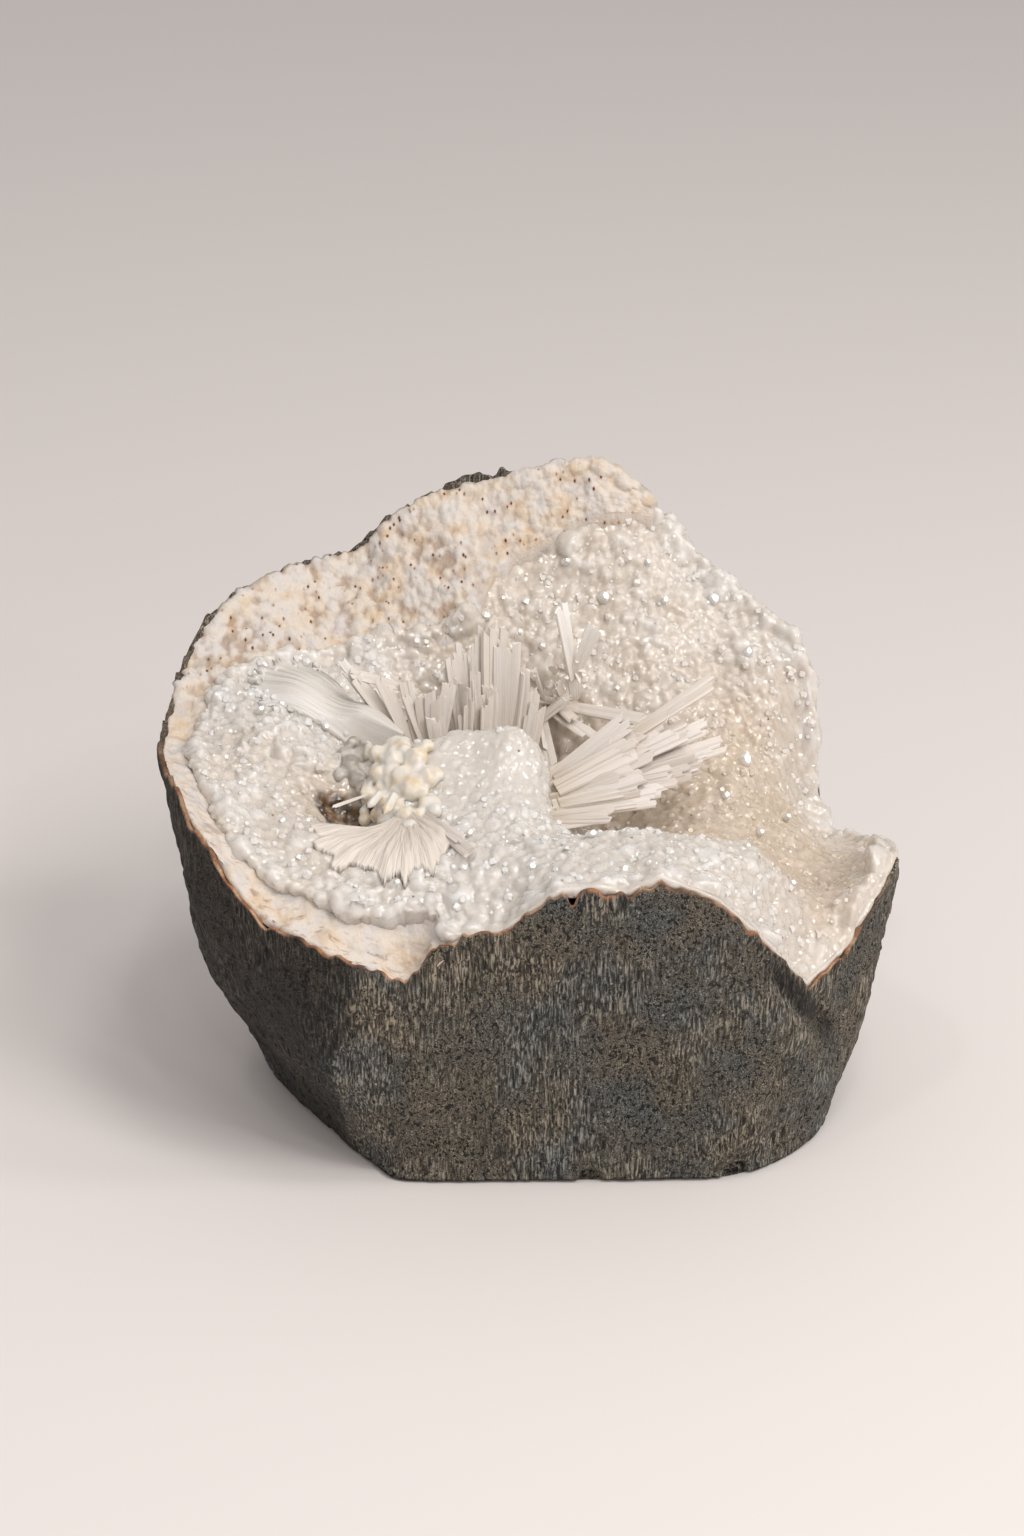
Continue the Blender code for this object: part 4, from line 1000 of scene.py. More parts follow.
def edge_lumps(rows, columns, draw):
    """Places along the rolled edge that get a lump each, which scallops its outline. The front
    and the top, where the edge is thin, have none."""
    first = (rows - CURL_ROWS + 1) * columns
    step = EDGE_LUMP_COLUMNS
    ring = first + np.arange(0, columns, step) + draw.integers(0, step - 1, columns // step)
    spin = (ring - first) * 360 / columns
    return ring[(np.abs(spin - 300) > 60) & (np.abs(spin - 85) > 25)]


def grow_crystals(flat, normals, rows, columns, draw):
    """Height and tone of the crystals at each point of the crust."""
    quads = band_faces(rows, columns)
    height = np.zeros(len(flat))
    tone = np.full(len(flat), 0.5)
    for sort, (count, gap, sizes, sink, facets, only_peach) in enumerate(CRYSTAL_SORTS):
        risen = flat + normals * height[:, None]
        places, where = area_draw(flat, quads, count, draw)
        at = quads[where][:, 0]
        if sort == EDGE_SORT:
            ring = edge_lumps(rows, columns, draw)
            places, at = np.concatenate([flat[ring], places]), np.concatenate([ring, at])
        kept = spread_out(places, gap)
        if only_peach:
            kept &= peachy(places) > draw.uniform(0.2, 0.8, len(places))
        places, at = places[kept], at[kept]
        size = draw.uniform(*sizes, len(places))
        sunk = size * (draw.uniform(*sink, len(places)) + 0.2 * smooth_mound(places)) - height[at]
        centres = places - normals[at] * sunk[:, None]
        grown, owner = grown_height(risen, normals, centres, size, facets, draw)
        tones = draw.uniform(size=len(places) + 1)
        tone = np.where(owner >= 0, tones[owner], tone)
        height = height + grown
    return height, tone


def make_crust(material):
    """One closed mesh: the grown free surface with its rolled edge, and a plain underside."""
    draw = np.random.default_rng(3)
    phi, grid = crust_grid()
    rows, columns = grid.shape[:2]
    normals = grid_normals(grid)
    facing_up = np.sign(np.sum(normals * (0, 0, 1), axis=2))
    facing_up[-CURL_ROWS:] = facing_up[-CURL_ROWS - 1]
    normals = (normals * facing_up[..., None]).reshape(-1, 3)
    flat = grid.reshape(-1, 3)
    height, tone = grow_crystals(flat, normals, rows, columns, draw)

    # Crystals are bold on the left mass, with gaps between them, and low at the front edge, along
    # the ragged top and on the mound
    degrees = direction_of(flat)
    mound, peach = smooth_mound(flat), peachy(flat)
    front = mixed(-112, -104, degrees) * mixed(5, -3, degrees)
    from_edge = np.repeat(rows - CURL_ROWS - 1 - np.arange(rows), columns)
    height *= RELIEF + (1 - RELIEF) * mixed(9, 2, from_edge)
    bold = np.exp(-(np.hypot(flat[:, 0] + 54, flat[:, 1] + 2) / 15) ** 2)
    gaps = mixed(0.15, 0.55, wave(flat, 3.4, 31)) * (0.3 + 0.7 * bold) * (1 - mound)
    height = height * (1 + 0.4 * bold) - 1.2 * gaps
    height *= 1 - 0.8 * ragged_top(degrees, 60, 70) * mixed(14, 0, from_edge)
    height *= 1 - 0.85 * front * mixed(4, 0.5, from_edge)
    sunken = MEAN_RISE * (1 - (0.6 + 0.4 * front) * mixed(5, 0, from_edge))
    shaped = flat + normals * (height - sunken + 0.06 * wave(flat, 1.6, 8))[:, None]

    from_hole = np.linalg.norm((flat - HOLE) * (0.62, 1.0, 0.8), axis=1) + 1.2 * wave(flat, 2.2, 77)
    off_front_edge = np.where(from_edge > 8, 1.0, np.where(from_edge > 1, 1 - front, 0))
    off_hole = mixed(5, 9, np.linalg.norm(flat - HOLE, axis=1))
    values = {
        # Beige and darker in the deep places, partly the crust's own colour and partly painted shade
        "warm_and_shade": warmth_and_shade(flat), "tone": tone, "peach": peach,
        # Low places between the crystals get painted shade
        "painted_crevice_shade": mixed(1.3, 0.3, height), "hole": mixed(4.2, 2.4, from_hole),
        "sown": (1 - 0.7 * mound) * off_hole * off_front_edge * (1 - 0.9 * peach),
    }

    # Inner rings keep every second column; a strip of five-sided faces joins the two parts
    index = np.arange(rows * columns).reshape(rows, columns)
    inner, outer = index[:INNER_ROWS, ::2], index[INNER_ROWS:]
    keep = np.concatenate([inner.ravel(), outer.ravel()])
    new_index = np.full(rows * columns, -1)
    new_index[keep] = np.arange(len(keep))
    inner, outer = new_index[inner], new_index[outer]
    half = columns // 2
    left = 2 * np.arange(half)
    joined = [inner[-1], outer[0, left], outer[0, left + 1], outer[0, (left + 2) % columns]]
    strip = np.stack([*joined, np.roll(inner[-1], -1)], axis=1)
    top = np.concatenate([band_faces(INNER_ROWS, half), band_faces(rows - INNER_ROWS, columns, inner.size)])

    count, steps = len(keep), len(UNDER_STEPS)
    below = []
    for step in UNDER_STEPS:
        share = by_direction(RIND_BEGINS, phi) * step
        z = np.minimum(contact_height(phi, share) + 0.3, shaped[index[-1], 2] - 0.5)
        below.append(np.stack([*plan(phi, share), z], 1))
    under = count + np.arange(steps * columns).reshape(steps, columns)
    under = np.concatenate([outer[-1:], under])
    sides = [under[:-1], np.roll(under[:-1], -1, 1), np.roll(under[1:], -1, 1), under[1:]]
    quads_below = np.stack(sides, -1).reshape(-1, 4)
    middle = np.array([[*AXIS, FREE.height(*AXIS)], [*AXIS, float(contact_height(0.0, 0.0))]])
    last = count + steps * columns
    faces = [
        np.concatenate([top, quads_below])[:, ::-1],
        fan_faces(last, inner[0]),
        fan_faces(last + 1, under[-1])[:, ::-1],
        strip,
    ]
    points = np.concatenate([shaped[keep], *below, middle])
    unseen = np.zeros(steps * columns + 2)
    values = {key: np.concatenate([value[keep], unseen]) for key, value in values.items()}
    return mesh_object("milky_crystal_crust", points, faces, material, values)


# Crystals sown over a surface: how many a square metre, least and most size in millimetres, how
# far they lean from the surface's own direction towards GLINT, their random tilt, and a seed
GRAINS = (60000, 0.45, 1.25, 0.1, 0.75, 9)
FAN_END_GRAINS = (170000, 0.5, 1.2, 0.0, 0.6, 10)
SPARKLES = (90000, 0.07, 0.22, 1.0, 0.12, 12)
GLINT = (0.244, -0.760, 0.602)
# A grain is a six-sided cone cut off flat, a millimetre in radius before it is sized, and sunk
GRAIN_FORM = {"Vertices": 6, "Radius Top": 0.5, "Radius Bottom": 1.0, "Depth": 0.9}
GRAIN_SUNK = 0.56
# Large clean faces that catch the lamp: place (x, y) and size
BRIGHT_FACES = [
    (47.2, 19, 1.5), (50, 37, 1.1), (40.9, 8.9, 0.9), (16, 40, 1.2), (42.2, 46, 1.3), (-4, 25, 0.8),
    (30, 42, 0.9), (56, 12, 0.8), (37, 30, 0.8), (-55, 6, 0.8), (12, -36, 0.9), (52, -28, 0.8),
    (26, 46, 0.7), (48, 2, 0.8), (8, 44, 0.8), (-30, 27, 0.7), (-12, -33, 0.7),
]


def sowing_tree(values):
    """Geometry Nodes that stand crystals on a surface where its value `sown` is high."""
    tree = bpy.data.node_groups.new("sown crystals", "GeometryNodeTree")
    for label, (kind, _) in values.items():
        tree.interface.new_socket(label, in_out="INPUT", socket_type="NodeSocket" + kind)
    tree.interface.new_socket("Crystals", in_out="OUTPUT", socket_type="NodeSocketGeometry")

    def add(kind, inputs=None, out=0, **settings):
        return add_node(tree, kind, inputs, out, **settings)

    surface = add("NodeGroupInput", out="Surface")
    given = surface.node.outputs
    sown = add("GeometryNodeInputNamedAttribute", {"Name": "sown"}, "Attribute", data_type="FLOAT")
    density = add("ShaderNodeMath", {0: given["Number per square metre"], 1: sown}, operation="MULTIPLY")
    spots = {"Mesh": surface, "Density": density, "Seed": given["Seed"]}
    points = add("GeometryNodeDistributePointsOnFaces", spots, "Points")
    leaning = {0: given["Lean"], 4: points.node.outputs["Normal"], 5: given["Glint"]}
    ahead = add("ShaderNodeMix", leaning, 1, data_type="VECTOR")
    swing = {0: (-1, -1, -1), "Seed": given["Seed"]}
    swing = add("FunctionNodeRandomValue", swing, data_type="FLOAT_VECTOR")
    swing = add("ShaderNodeVectorMath", {0: swing, "Scale": given["Tilt"]}, operation="SCALE")
    ahead = add("ShaderNodeVectorMath", {0: ahead, 1: swing}, operation="ADD")
    facing = add("FunctionNodeAlignRotationToVector", {"Vector": ahead}, axis="Z")
    grain = add("GeometryNodeMeshCone", GRAIN_FORM, "Mesh", fill_type="NGON")
    grain = add("GeometryNodeTransform", {"Geometry": grain, "Translation": (0, 0, -GRAIN_SUNK)})
    sizes = {2: given["Least size"], 3: given["Most size"], "Seed": given["Seed"]}
    size = add("FunctionNodeRandomValue", sizes, 1, data_type="FLOAT")
    stood = {"Points": points, "Instance": grain, "Rotation": facing, "Scale": size}
    stand = add("GeometryNodeInstanceOnPoints", stood)
    whole = add("GeometryNodeRealizeInstances", {"Geometry": stand})
    done = add("GeometryNodeSetMaterial", {"Geometry": whole, "Material": given["Finish"]})
    add("NodeGroupOutput", {"Crystals": done})
    return tree


def sown_crystals(surface, name, sort, material):
    """A piece of small flat-topped crystals sown over another piece."""
    density, least, most, lean, tilt, seed = sort
    values = {
        "Surface": ("Geometry", None), "Number per square metre": ("Float", float(density)),
        "Least size": ("Float", least * MM), "Most size": ("Float", most * MM),
        "Glint": ("Vector", GLINT), "Lean": ("Float", lean), "Tilt": ("Float", tilt),
        "Seed": ("Int", seed), "Finish": ("Material", material),
    }
    tree = sowing_tree(values)
    sower = bpy.data.objects.new(name, surface.data)
    bpy.context.scene.collection.objects.link(sower)
    modifier = sower.modifiers.new("sown crystals", "NODES")
    modifier.node_group = tree
    for socket in tree.interface.items_tree:
        if socket.in_out == "INPUT" and values[socket.name][1] is not None:
            modifier[socket.identifier] = values[socket.name][1]
    evaluated = sower.evaluated_get(bpy.context.evaluated_depsgraph_get())
    mesh = bpy.data.meshes.new_from_object(evaluated)
    sower.modifiers.remove(modifier)
    sower.data = mesh
    return sower


def make_bright_faces(material):
    """A few large flat crystal faces turned so that they catch the lamp."""
    draw = np.random.default_rng(14)
    up = unit(GLINT)
    side = unit(np.cross(up, (0, 0, 1)))
    other = np.cross(up, side)
    points, count = [], 6
    for x, y, size in BRIGHT_FACES:
        turn = draw.uniform(0, pi) + np.arange(count) * 2 * pi / count
        ring = size * draw.uniform(0.7, 1.15, count)
        out = (side * (ring * np.cos(turn))[:, None]) + other * (ring * np.sin(turn))[:, None]
        middle = free_point(x, y, 0.4) + up * 0.8
        points += [middle + out * 0.6, middle + out * 0.9 - up * 0.5, middle + out * 1.3 - up * 2.6]
    start = np.arange(len(BRIGHT_FACES))[:, None] * 3 * count
    faces = [
        np.concatenate([band_faces(3, count)[:, ::-1] + first for first in start]),
        start + np.arange(count), start + np.arange(3 * count - 1, 2 * count - 1, -1),
    ]
    piece = mesh_object("bright_crystal_faces", np.concatenate(points), faces, material, smooth=False)
    return outward(piece)


# Rind

RIND_COLUMNS = 680
RIND_ROWS = 66
RIND_FROM, RIND_TO = 63.5, 257.0
# How far the rind runs in under the crust's edge, as a share
RIND_UNDER_CRUST = 0.035
KNOB_TRIES = 3000
KNOB_SIZES = (0.9, 2.2)
KNOB_SINK = (0.45, 0.85)
# Broad white lobes on the band at the lower left: direction, share of the way out, reach
BAND_LOBES = [(236, 0.94, 3.2), (240, 0.93, 3.6), (244, 0.95, 3.2), (247.5, 0.95, 2.6), (231, 0.95, 2.4)]
LOBE_RISE = 3.5


def make_rind(material):
    """A closed sheet from under the crust's edge out to the basalt's: knobby at the upper left,
    smooth and lobed down the left side."""
    draw = np.random.default_rng(21)
    phi = np.radians(np.linspace(RIND_FROM, RIND_TO, RIND_COLUMNS))
    begins = by_direction(RIND_BEGINS, phi) - RIND_UNDER_CRUST
    step = np.linspace(0, 1, RIND_ROWS)
    share = even_rows(phi, begins, np.full(len(phi), EDGE_SHARE), RIND_ROWS)
    x, y = plan(phi[None], share)
    depth = crust_depth(phi[None], share)
    base = FREE.height(x, y) - depth
    share_high = RIND_SHARE + 0.40 * mixed(126, 106, np.degrees(phi))[None]
    z = base + 0.6 + share_high * depth - by_direction(EDGE_DIP, phi)[None] * mixed(0.5, 1.0, share)
    z -= 0.6 * mixed(0.985, 1, step)[:, None]
    grid = np.stack([x, y, z], 2)
    normals = unit(np.cross(np.gradient(grid, axis=1), np.gradient(grid, axis=0)))
    normals = (normals * np.sign(normals[..., 2:])).reshape(-1, 3)
    flat = grid.reshape(-1, 3)
    quads = band_faces(RIND_ROWS, RIND_COLUMNS, closed=False)
    degrees = direction_of(flat) % 360
    knobby, top = mixed(176, 160, degrees), mixed(113, 101, degrees)

    knobs, where = area_draw(flat, quads, KNOB_TRIES, draw, 0.12 + knobby[quads[:, 0]])
    size = draw.uniform(*KNOB_SIZES, len(knobs))
    sunk = size * draw.uniform(*KNOB_SINK, len(knobs))
    centres = knobs - normals[quads[where][:, 0]] * sunk[:, None]
    height, _ = grown_height(flat, normals, centres, size, 2, draw)
    for direction, share_at, reach in BAND_LOBES:
        across = plan(radians(direction), share_at)
        away = np.linalg.norm(flat - (*across, FREE.height(*across)), axis=1)
        height = height + LOBE_RISE * mixed(1.0, 0.2, away / reach)
    height *= (0.35 + 0.65 * knobby) * (1 - 0.3 * top)
    height += 0.45 * waves(flat, 4.5, 2, 12) + 0.18 * waves(flat, 1.3, 2, 14)
    from_crust = mixed(0, 0.06, np.repeat(step, RIND_COLUMNS))
    shaped = flat + normals * (height * (0.3 + 0.7 * from_crust))[:, None]

    outer_half = np.repeat(mixed(0.3, 0.6, step), RIND_COLUMNS)
    values = {
        # Low places between the knobs get painted shade
        "painted_crevice_shade": mixed(0.68, 0.05, height) * knobby * (1 - 0.6 * top),
        "pitted": mixed(176, 158, degrees),
        "streaky": mixed(185, 215, degrees) * outer_half,
    }
    under = np.stack([x, y, base + 0.2], 2)
    return closed_sheet("rind_knobs", material, shaped.reshape(grid.shape), under, values)


# Needles: foot, tip and width of each large one

RIGHT_FAN = [
    ((4, -9, 73), (20, -3, 83.5), 3.6), ((4, -9, 72), (23, -3, 82), 3.8),
    ((4, -11, 72), (29, -2, 81), 4.2), ((4, -12, 71), (33, 0, 80.5), 4.0),
    ((4, -11, 70), (37, 3, 80), 2.8), ((4, -13, 70), (40, 1, 76.5), 3.0),
    ((4, -14, 70), (35.5, -4, 74.5), 4.0), ((4, -14, 69), (33, -6, 73), 3.6),
    ((4, -15, 69), (28.5, -8, 72), 4.2), ((4, -17, 69), (26.5, -12, 70.5), 3.2),
    ((4, -19, 69), (17, -18, 69.5), 3.0), ((5, -12, 71), (24, -6, 78.5), 4.4),
    ((5, -14, 70), (23, -10, 74.5), 4.4),
]
SINGLE_NEEDLE = [((21, -4, 81), (37.5, 5, 89), 2.6)]
CENTRE_BUNDLE = [
    ((-7.5, 12, 58), (-7, 18, 95), 4.6), ((-5.5, 11, 58), (-4.6, 17, 93.5), 4.6),
    ((-4, 12, 58), (-2.2, 17, 90), 4.0), ((-3, 12, 58), (0.6, 17, 84), 3.4),
    ((-10, 12, 58), (-10.6, 18, 95.5), 2.4), ((-9, 9, 60), (-8.6, 12, 84), 3.2),
    ((-11, 10, 60), (-11.3, 12, 88), 1.8), ((-11, 11, 58), (-14.6, 18, 92), 2.4),
    ((-12, 10, 58), (-16.5, 17, 91.5), 2.2), ((-13, 9, 60), (-12.8, 9, 86), 1.8),
]
LEFT_SPRAY = [
    ((-20, 7, 66), (-16.3, 11, 86.5), 2.2), ((-19, 7, 66), (-19.3, 8, 85), 3.4),
    ((-20, 7, 66), (-22, 9, 85), 2.8), ((-21, 7, 66), (-25.6, 10, 87), 2.4),
    ((-22, 7, 67), (-30.8, 9, 87.5), 2.2), ((-22, 7, 68), (-36, 10.5, 87.5), 2.0),
    ((-24, 8, 70), (-39, 13, 89.5), 1.8), ((-23, 10, 84), (-37, 11, 87.8), 1.5),
]
V_NEEDLES = [
    ((9.6, 25, 76), (9.2, 20, 85.3), 2.3), ((9.2, 20, 82.8), (6.2, 18, 100.8), 2.7),
    ((9.2, 20, 82.8), (13.6, 18, 95.8), 2.4),
]
CROSSING_BLADES = [
    ((5, 25, 75), (25, 11, 77), 2.2), ((3.5, 23, 75), (13, 12, 73), 2.2),
    ((2.5, 20, 74), (4.5, 12, 66), 2.0), ((7, 27, 74), (-2.5, 18, 80.5), 1.8),
    ((4, 26, 72), (1, 19, 85), 1.8), ((8, 26, 74), (5.5, 18, 83), 1.7),
    ((0, 20, 72), (9, 19, 80), 1.6),
]
LOOSE_BLADES = [
    ((-21, -25, 72.5), (-11.5, -41, 71.5), 1.7), ((-32.5, -18.5, 73.8), (-39.5, -23.0, 73.0), 0.5),
]
# Splinters round the foot of the pair of needles
PAIR_FOOT = (9.2, 20.2, 84.8)
PAIR_SPLINTERS, SPLINTER_REACH, SPLINTER_TURN, SPLINTER_WIDTH = 5, 2.4, 1.3, 0.9

# Each piece of needles: its seed and its groups. A group has its large needles, how many thinner
# ones stand by each, how far their tips and feet are spread, their length and width as shares,
# and the strands in each blade
NEEDLE_PIECES = {
    "right_needle_fan": (31, [
        (RIGHT_FAN, 2, 0.8, 0.8, (0.7, 0.97), (0.7, 1.1), 4),
        (SINGLE_NEEDLE, 1, 0.3, 0.25, (0.6, 0.75), (0.6, 0.8), 3),
    ]),
    "centre_needle_bundle": (32, [(CENTRE_BUNDLE, 2, 0.6, 0.8, (0.75, 0.95), (0.7, 1.1), 4)]),
    "left_needle_spray": (33, [(LEFT_SPRAY, 1, 0.8, 0.8, (0.75, 0.95), (0.6, 1.0), 3)]),
    "needle_pair": (34, [(V_NEEDLES, 0, 0.3, 0.3, (0.7, 0.9), (0.6, 0.9), 3)]),
    "crossing_needles": (35, [(CROSSING_BLADES, 1, 0.9, 0.9, (0.5, 0.95), (0.6, 0.9), 2)]),
    "loose_scolecite_blades": (36, [
        (LOOSE_BLADES[:1], 2, 0.7, 0.4, (0.7, 0.95), (0.5, 0.9), 2),
        (LOOSE_BLADES[1:], 0, 0.3, 0.3, (0.8, 1.0), (0.5, 0.9), 2),
    ]),
}

NEEDLE_SIDES = 10
NEEDLE_STEPS = (0, 0.25, 0.55, 0.85, 1)
FIRST_CORNER = 0.13
# Which way the flat of a blade looks
BLADES_LOOK = np.array([0.1, -0.75, 0.65])


class NeedleGroup:
    """Needles gathered into one mesh."""

    def __init__(self, seed):
        self.draw = np.random.default_rng(seed)
        self.points, self.faces, self.ends = [], [], []
        self.values = {"along": [], "tone": [], "grain": []}
        self.count = 0

    def add(self, foot, tip, width, thick=None, side=None):
        """A flat-sided striated prism, narrower at its foot, with a slanted broken end."""
        draw = self.draw
        foot, tip = np.array(foot, float), np.array(tip, float)
        axis = unit(tip - foot)
        length = np.linalg.norm(tip - foot)
        side = unit(np.cross(axis, unit(draw.normal(size=3)))) if side is None else side
        other = np.cross(axis, side)
        thick = thick or width * draw.uniform(0.45, 0.8)
        angle = np.arange(NEEDLE_SIDES) * 2 * pi / NEEDLE_SIDES + FIRST_CORNER
        boxy = (np.abs(np.cos(angle)) ** 4 + np.abs(np.sin(angle)) ** 4) ** -0.25
        boxy = boxy * (1 - 0.13 * draw.uniform(size=NEEDLE_SIDES) * (np.arange(NEEDLE_SIDES) % 2))
        u = np.cos(angle) * boxy * width / 2
        v = np.sin(angle) * boxy * thick / 2
        slant = draw.uniform(-0.9, 0.9) * u + draw.uniform(-0.5, 0.5) * v
        slant = slant + draw.uniform(-0.25, 0.25, NEEDLE_SIDES) * width * 0.5
        tone = draw.uniform()
        offset = draw.uniform(0, 50)
        for t in NEEDLE_STEPS:
            swell = 0.72 + 0.3 * t - 0.12 * max(t - 0.85, 0) / 0.15
            ring = foot + axis * length * t + side * (u * swell)[:, None] + other * (v * swell)[:, None]
            if t == 1:
                ring = ring + axis * slant[:, None]
            self.points.append(ring)
            self.values["along"].append(np.full(NEEDLE_SIDES, t))
            self.values["tone"].append(np.full(NEEDLE_SIDES, tone))
            grain = np.stack([u + offset, v + offset, np.full(NEEDLE_SIDES, length * t * 0.04)], 1)
            self.values["grain"].append(grain)
        n = len(NEEDLE_STEPS) * NEEDLE_SIDES
        middles = [foot, foot + axis * (length + slant.mean() - 0.08 * width)]
        self.points.append(np.array(middles))
        self.values["along"].append(np.array([0.0, 1.0]))
        self.values["tone"].append(np.full(2, tone))
        self.values["grain"].append(np.full((2, 3), offset))
        self.faces.append(band_faces(len(NEEDLE_STEPS), NEEDLE_SIDES, self.count))
        first = self.count + np.arange(NEEDLE_SIDES)
        self.ends.append(fan_faces(self.count + n, first)[:, ::-1])
        self.ends.append(fan_faces(self.count + n + 1, first + n - NEEDLE_SIDES))
        self.count += n + 2

    def sheaf(self, foot, tip, width, strands=4):
        """A flat blade of strands grown side by side, each broken off at its own length."""
        draw = self.draw
        foot, tip = np.array(foot, float), np.array(tip, float)
        axis = unit(tip - foot)
        side = unit(np.cross(axis, BLADES_LOOK + 0.3 * draw.normal(size=3)))
        up = np.cross(side, axis)
        for strand in range(strands):
            off = (strand - (strands - 1) / 2) / strands * width
            start = foot + side * off * 0.7 + up * 0.02 * width * draw.normal()
            end = foot + (tip - foot) * draw.uniform(0.88, 1.0) + side * off * 1.1
            end = end + up * 0.03 * width * draw.normal()
            broad = width / strands * draw.uniform(1.8, 2.5)
            self.add(start, end, broad, broad * draw.uniform(0.25, 0.45), side)

    def crowd(self, needles, copies, spread, foot_spread, shorten, widths, strands):
        """Each given needle and some thinner ones close beside it."""
        draw = self.draw
        for foot, tip, width in needles:
            foot, tip = np.array(foot, float), np.array(tip, float)
            self.sheaf(foot, tip, width, strands)
            for _ in range(copies):
                start = foot + draw.normal(size=3) * foot_spread
                end = foot + (tip - foot) * draw.uniform(*shorten) + draw.normal(size=3) * spread
                self.sheaf(start, end, width * draw.uniform(*widths), strands)

    def finish(self, name, material):
        values = {key: np.concatenate(parts) for key, parts in self.values.items()}
        faces = [np.concatenate(self.faces), np.concatenate(self.ends)]
        return mesh_object(name, np.concatenate(self.points), faces, material, values, smooth=False)


def make_needles(name, material):
    seed, groups = NEEDLE_PIECES[name]
    group = NeedleGroup(seed)
    for needles in groups:
        group.crowd(*needles)
    if name == "needle_pair":
        x, y, z = PAIR_FOOT
        for number in range(PAIR_SPLINTERS):
            turn = number * SPLINTER_TURN
            tip = (x + SPLINTER_REACH * cos(turn), y - 1.2, z + SPLINTER_REACH * sin(turn))
            group.add(PAIR_FOOT, tip, SPLINTER_WIDTH)
    return group.finish(name, material)


# Fans of fused fibres

LEFT_FAN_APEX = (-25, 2.5, 77.5)
LEFT_FAN_TIPS = [
    (-56, 9, 81), (-58.3, 14, 83), (-59, 19, 84.5), (-57.5, 23.5, 86), (-54, 26, 86.3),
    (-50, 27.5, 86), (-46, 27.5, 85),
]
LEFT_FAN_COLUMNS, LEFT_FAN_ROWS = 300, 46
SILKY_ROOT = (-24.5, -24)
SILKY_TIPS = [
    (-43.5, -27.5), (-43.5, -33.5), (-38.5, -39.0), (-33, -40.5), (-27.5, -43), (-22, -43.5),
    (-17, -41.5), (-15, -34),
]
SILKY_COLUMNS, SILKY_ROWS = 360, 48
# Pointed locks of the silky patch: place across it from 0 to 1, width, and how far it runs out
SILKY_LOCKS = [
    (0.03, 0.05, 0.9), (0.17, 0.06, 0.5), (0.30, 0.04, 1.0), (0.43, 0.05, 0.4), (0.56, 0.05, 1.1),
    (0.66, 0.03, 0.8), (0.80, 0.06, 0.5), (0.97, 0.06, 1.0),
]


def through(points, t):
    """Smooth curve through points, t from 0 to 1."""
    points = np.array(points, float)
    padded = np.concatenate([2 * points[:1] - points[1:2], points, 2 * points[-1:] - points[-2:-1]])
    at = np.clip(t, 0, 1) * (len(points) - 1)
    i = np.minimum(at.astype(int), len(points) - 2)
    f = (at - i)[:, None]
    a, b, c, d = padded[i], padded[i + 1], padded[i + 2], padded[i + 3]
    bend = (2 * a - 5 * b + 4 * c - d) * f**2
    twist = (3 * b - a - 3 * c + d) * f**3
    return 0.5 * (2 * b + (c - a) * f + bend + twist)


def in_line(v, length):
    """Places from 0 to 1 across a fan as points in a straight row."""
    return np.stack([v * length, 0 * v, 0 * v], 1)


def fibre_values(u, v, width, tone, swing, seed, root):
    """What a fan's finish reads: where each fibre lies across the fan in millimetres, its tone,
    and how far along it a point is, from `root` to 1."""
    shape = (len(u), len(v))
    across, along = np.broadcast_to(v * width, shape), np.broadcast_to(u[:, None] * 1.4, shape)
    tones = np.broadcast_to(tone + swing * wave(in_line(v, 30), 1.0, seed), shape)
    return {
        "along": np.broadcast_to(root + (1 - root) * u[:, None], shape).ravel(),
        "tone": tones.ravel(),
        "grain": np.stack([across, np.zeros(shape), along], 2).reshape(-1, 3),
    }


def make_left_fan(material):
    """A broad fan of fused needles that lies against the left wall, thick in its middle."""
    draw = np.random.default_rng(41)
    v = np.linspace(0, 1, LEFT_FAN_COLUMNS)
    u = np.linspace(0.03, 1, LEFT_FAN_ROWS)
    out, across = u[:, None], v[None]
    tips = through(LEFT_FAN_TIPS, v)
    apex = np.array(LEFT_FAN_APEX, float)
    line = in_line(v, 60)
    lengths = 1 - 0.14 * np.abs(wave(line, 2.4, 1)) - 0.08 * np.abs(wave(line, 0.7, 2))
    lengths -= 0.02 * draw.uniform(size=len(v))
    plane = apex + (tips - apex)[None] * (out[..., None] * lengths[None, :, None])
    up = unit(np.cross(tips[0] - apex, tips[-1] - apex))
    up = up * np.sign(up[2])
    arch = 1.1 * np.sin(pi * np.clip(v, 0.01, 0.99)) ** 0.6
    ridges = waves(line, 3.2, 4, 3)
    lift = (arch[None] * mixed(1.02, 0.6, out) + 0.2 * ridges[None]) * mixed(0, 0.3, out)
    lift = lift + 0.5 * np.sin(pi * out) - 1.1 * mixed(0.70, 1.0, out) - 1.1 * mixed(0.10, 0.0, across)
    # Its far half and its front edge settle onto the crust
    ground = FREE.height(plane[..., 0], plane[..., 1])
    settled = np.maximum(mixed(0.3, 0.65, out), mixed(0.22, 0.02, across))
    plane[..., 2] += (ground + 1.3 - plane[..., 2]) * settled
    top = plane + up * lift[..., None]
    under = plane - up * (1.5 + 1.5 * out[..., None])
    values = fibre_values(u, v, 45, 0.5, 0.5, 9, 0.4)
    sown = np.maximum(mixed(0.84, 1.0, out), 0.5 * mixed(0.10, 0.03, across)).ravel()
    values["sown"] = (sown, 0 * sown)
    return closed_sheet("left_fan_of_fused_needles", material, top, under, values)


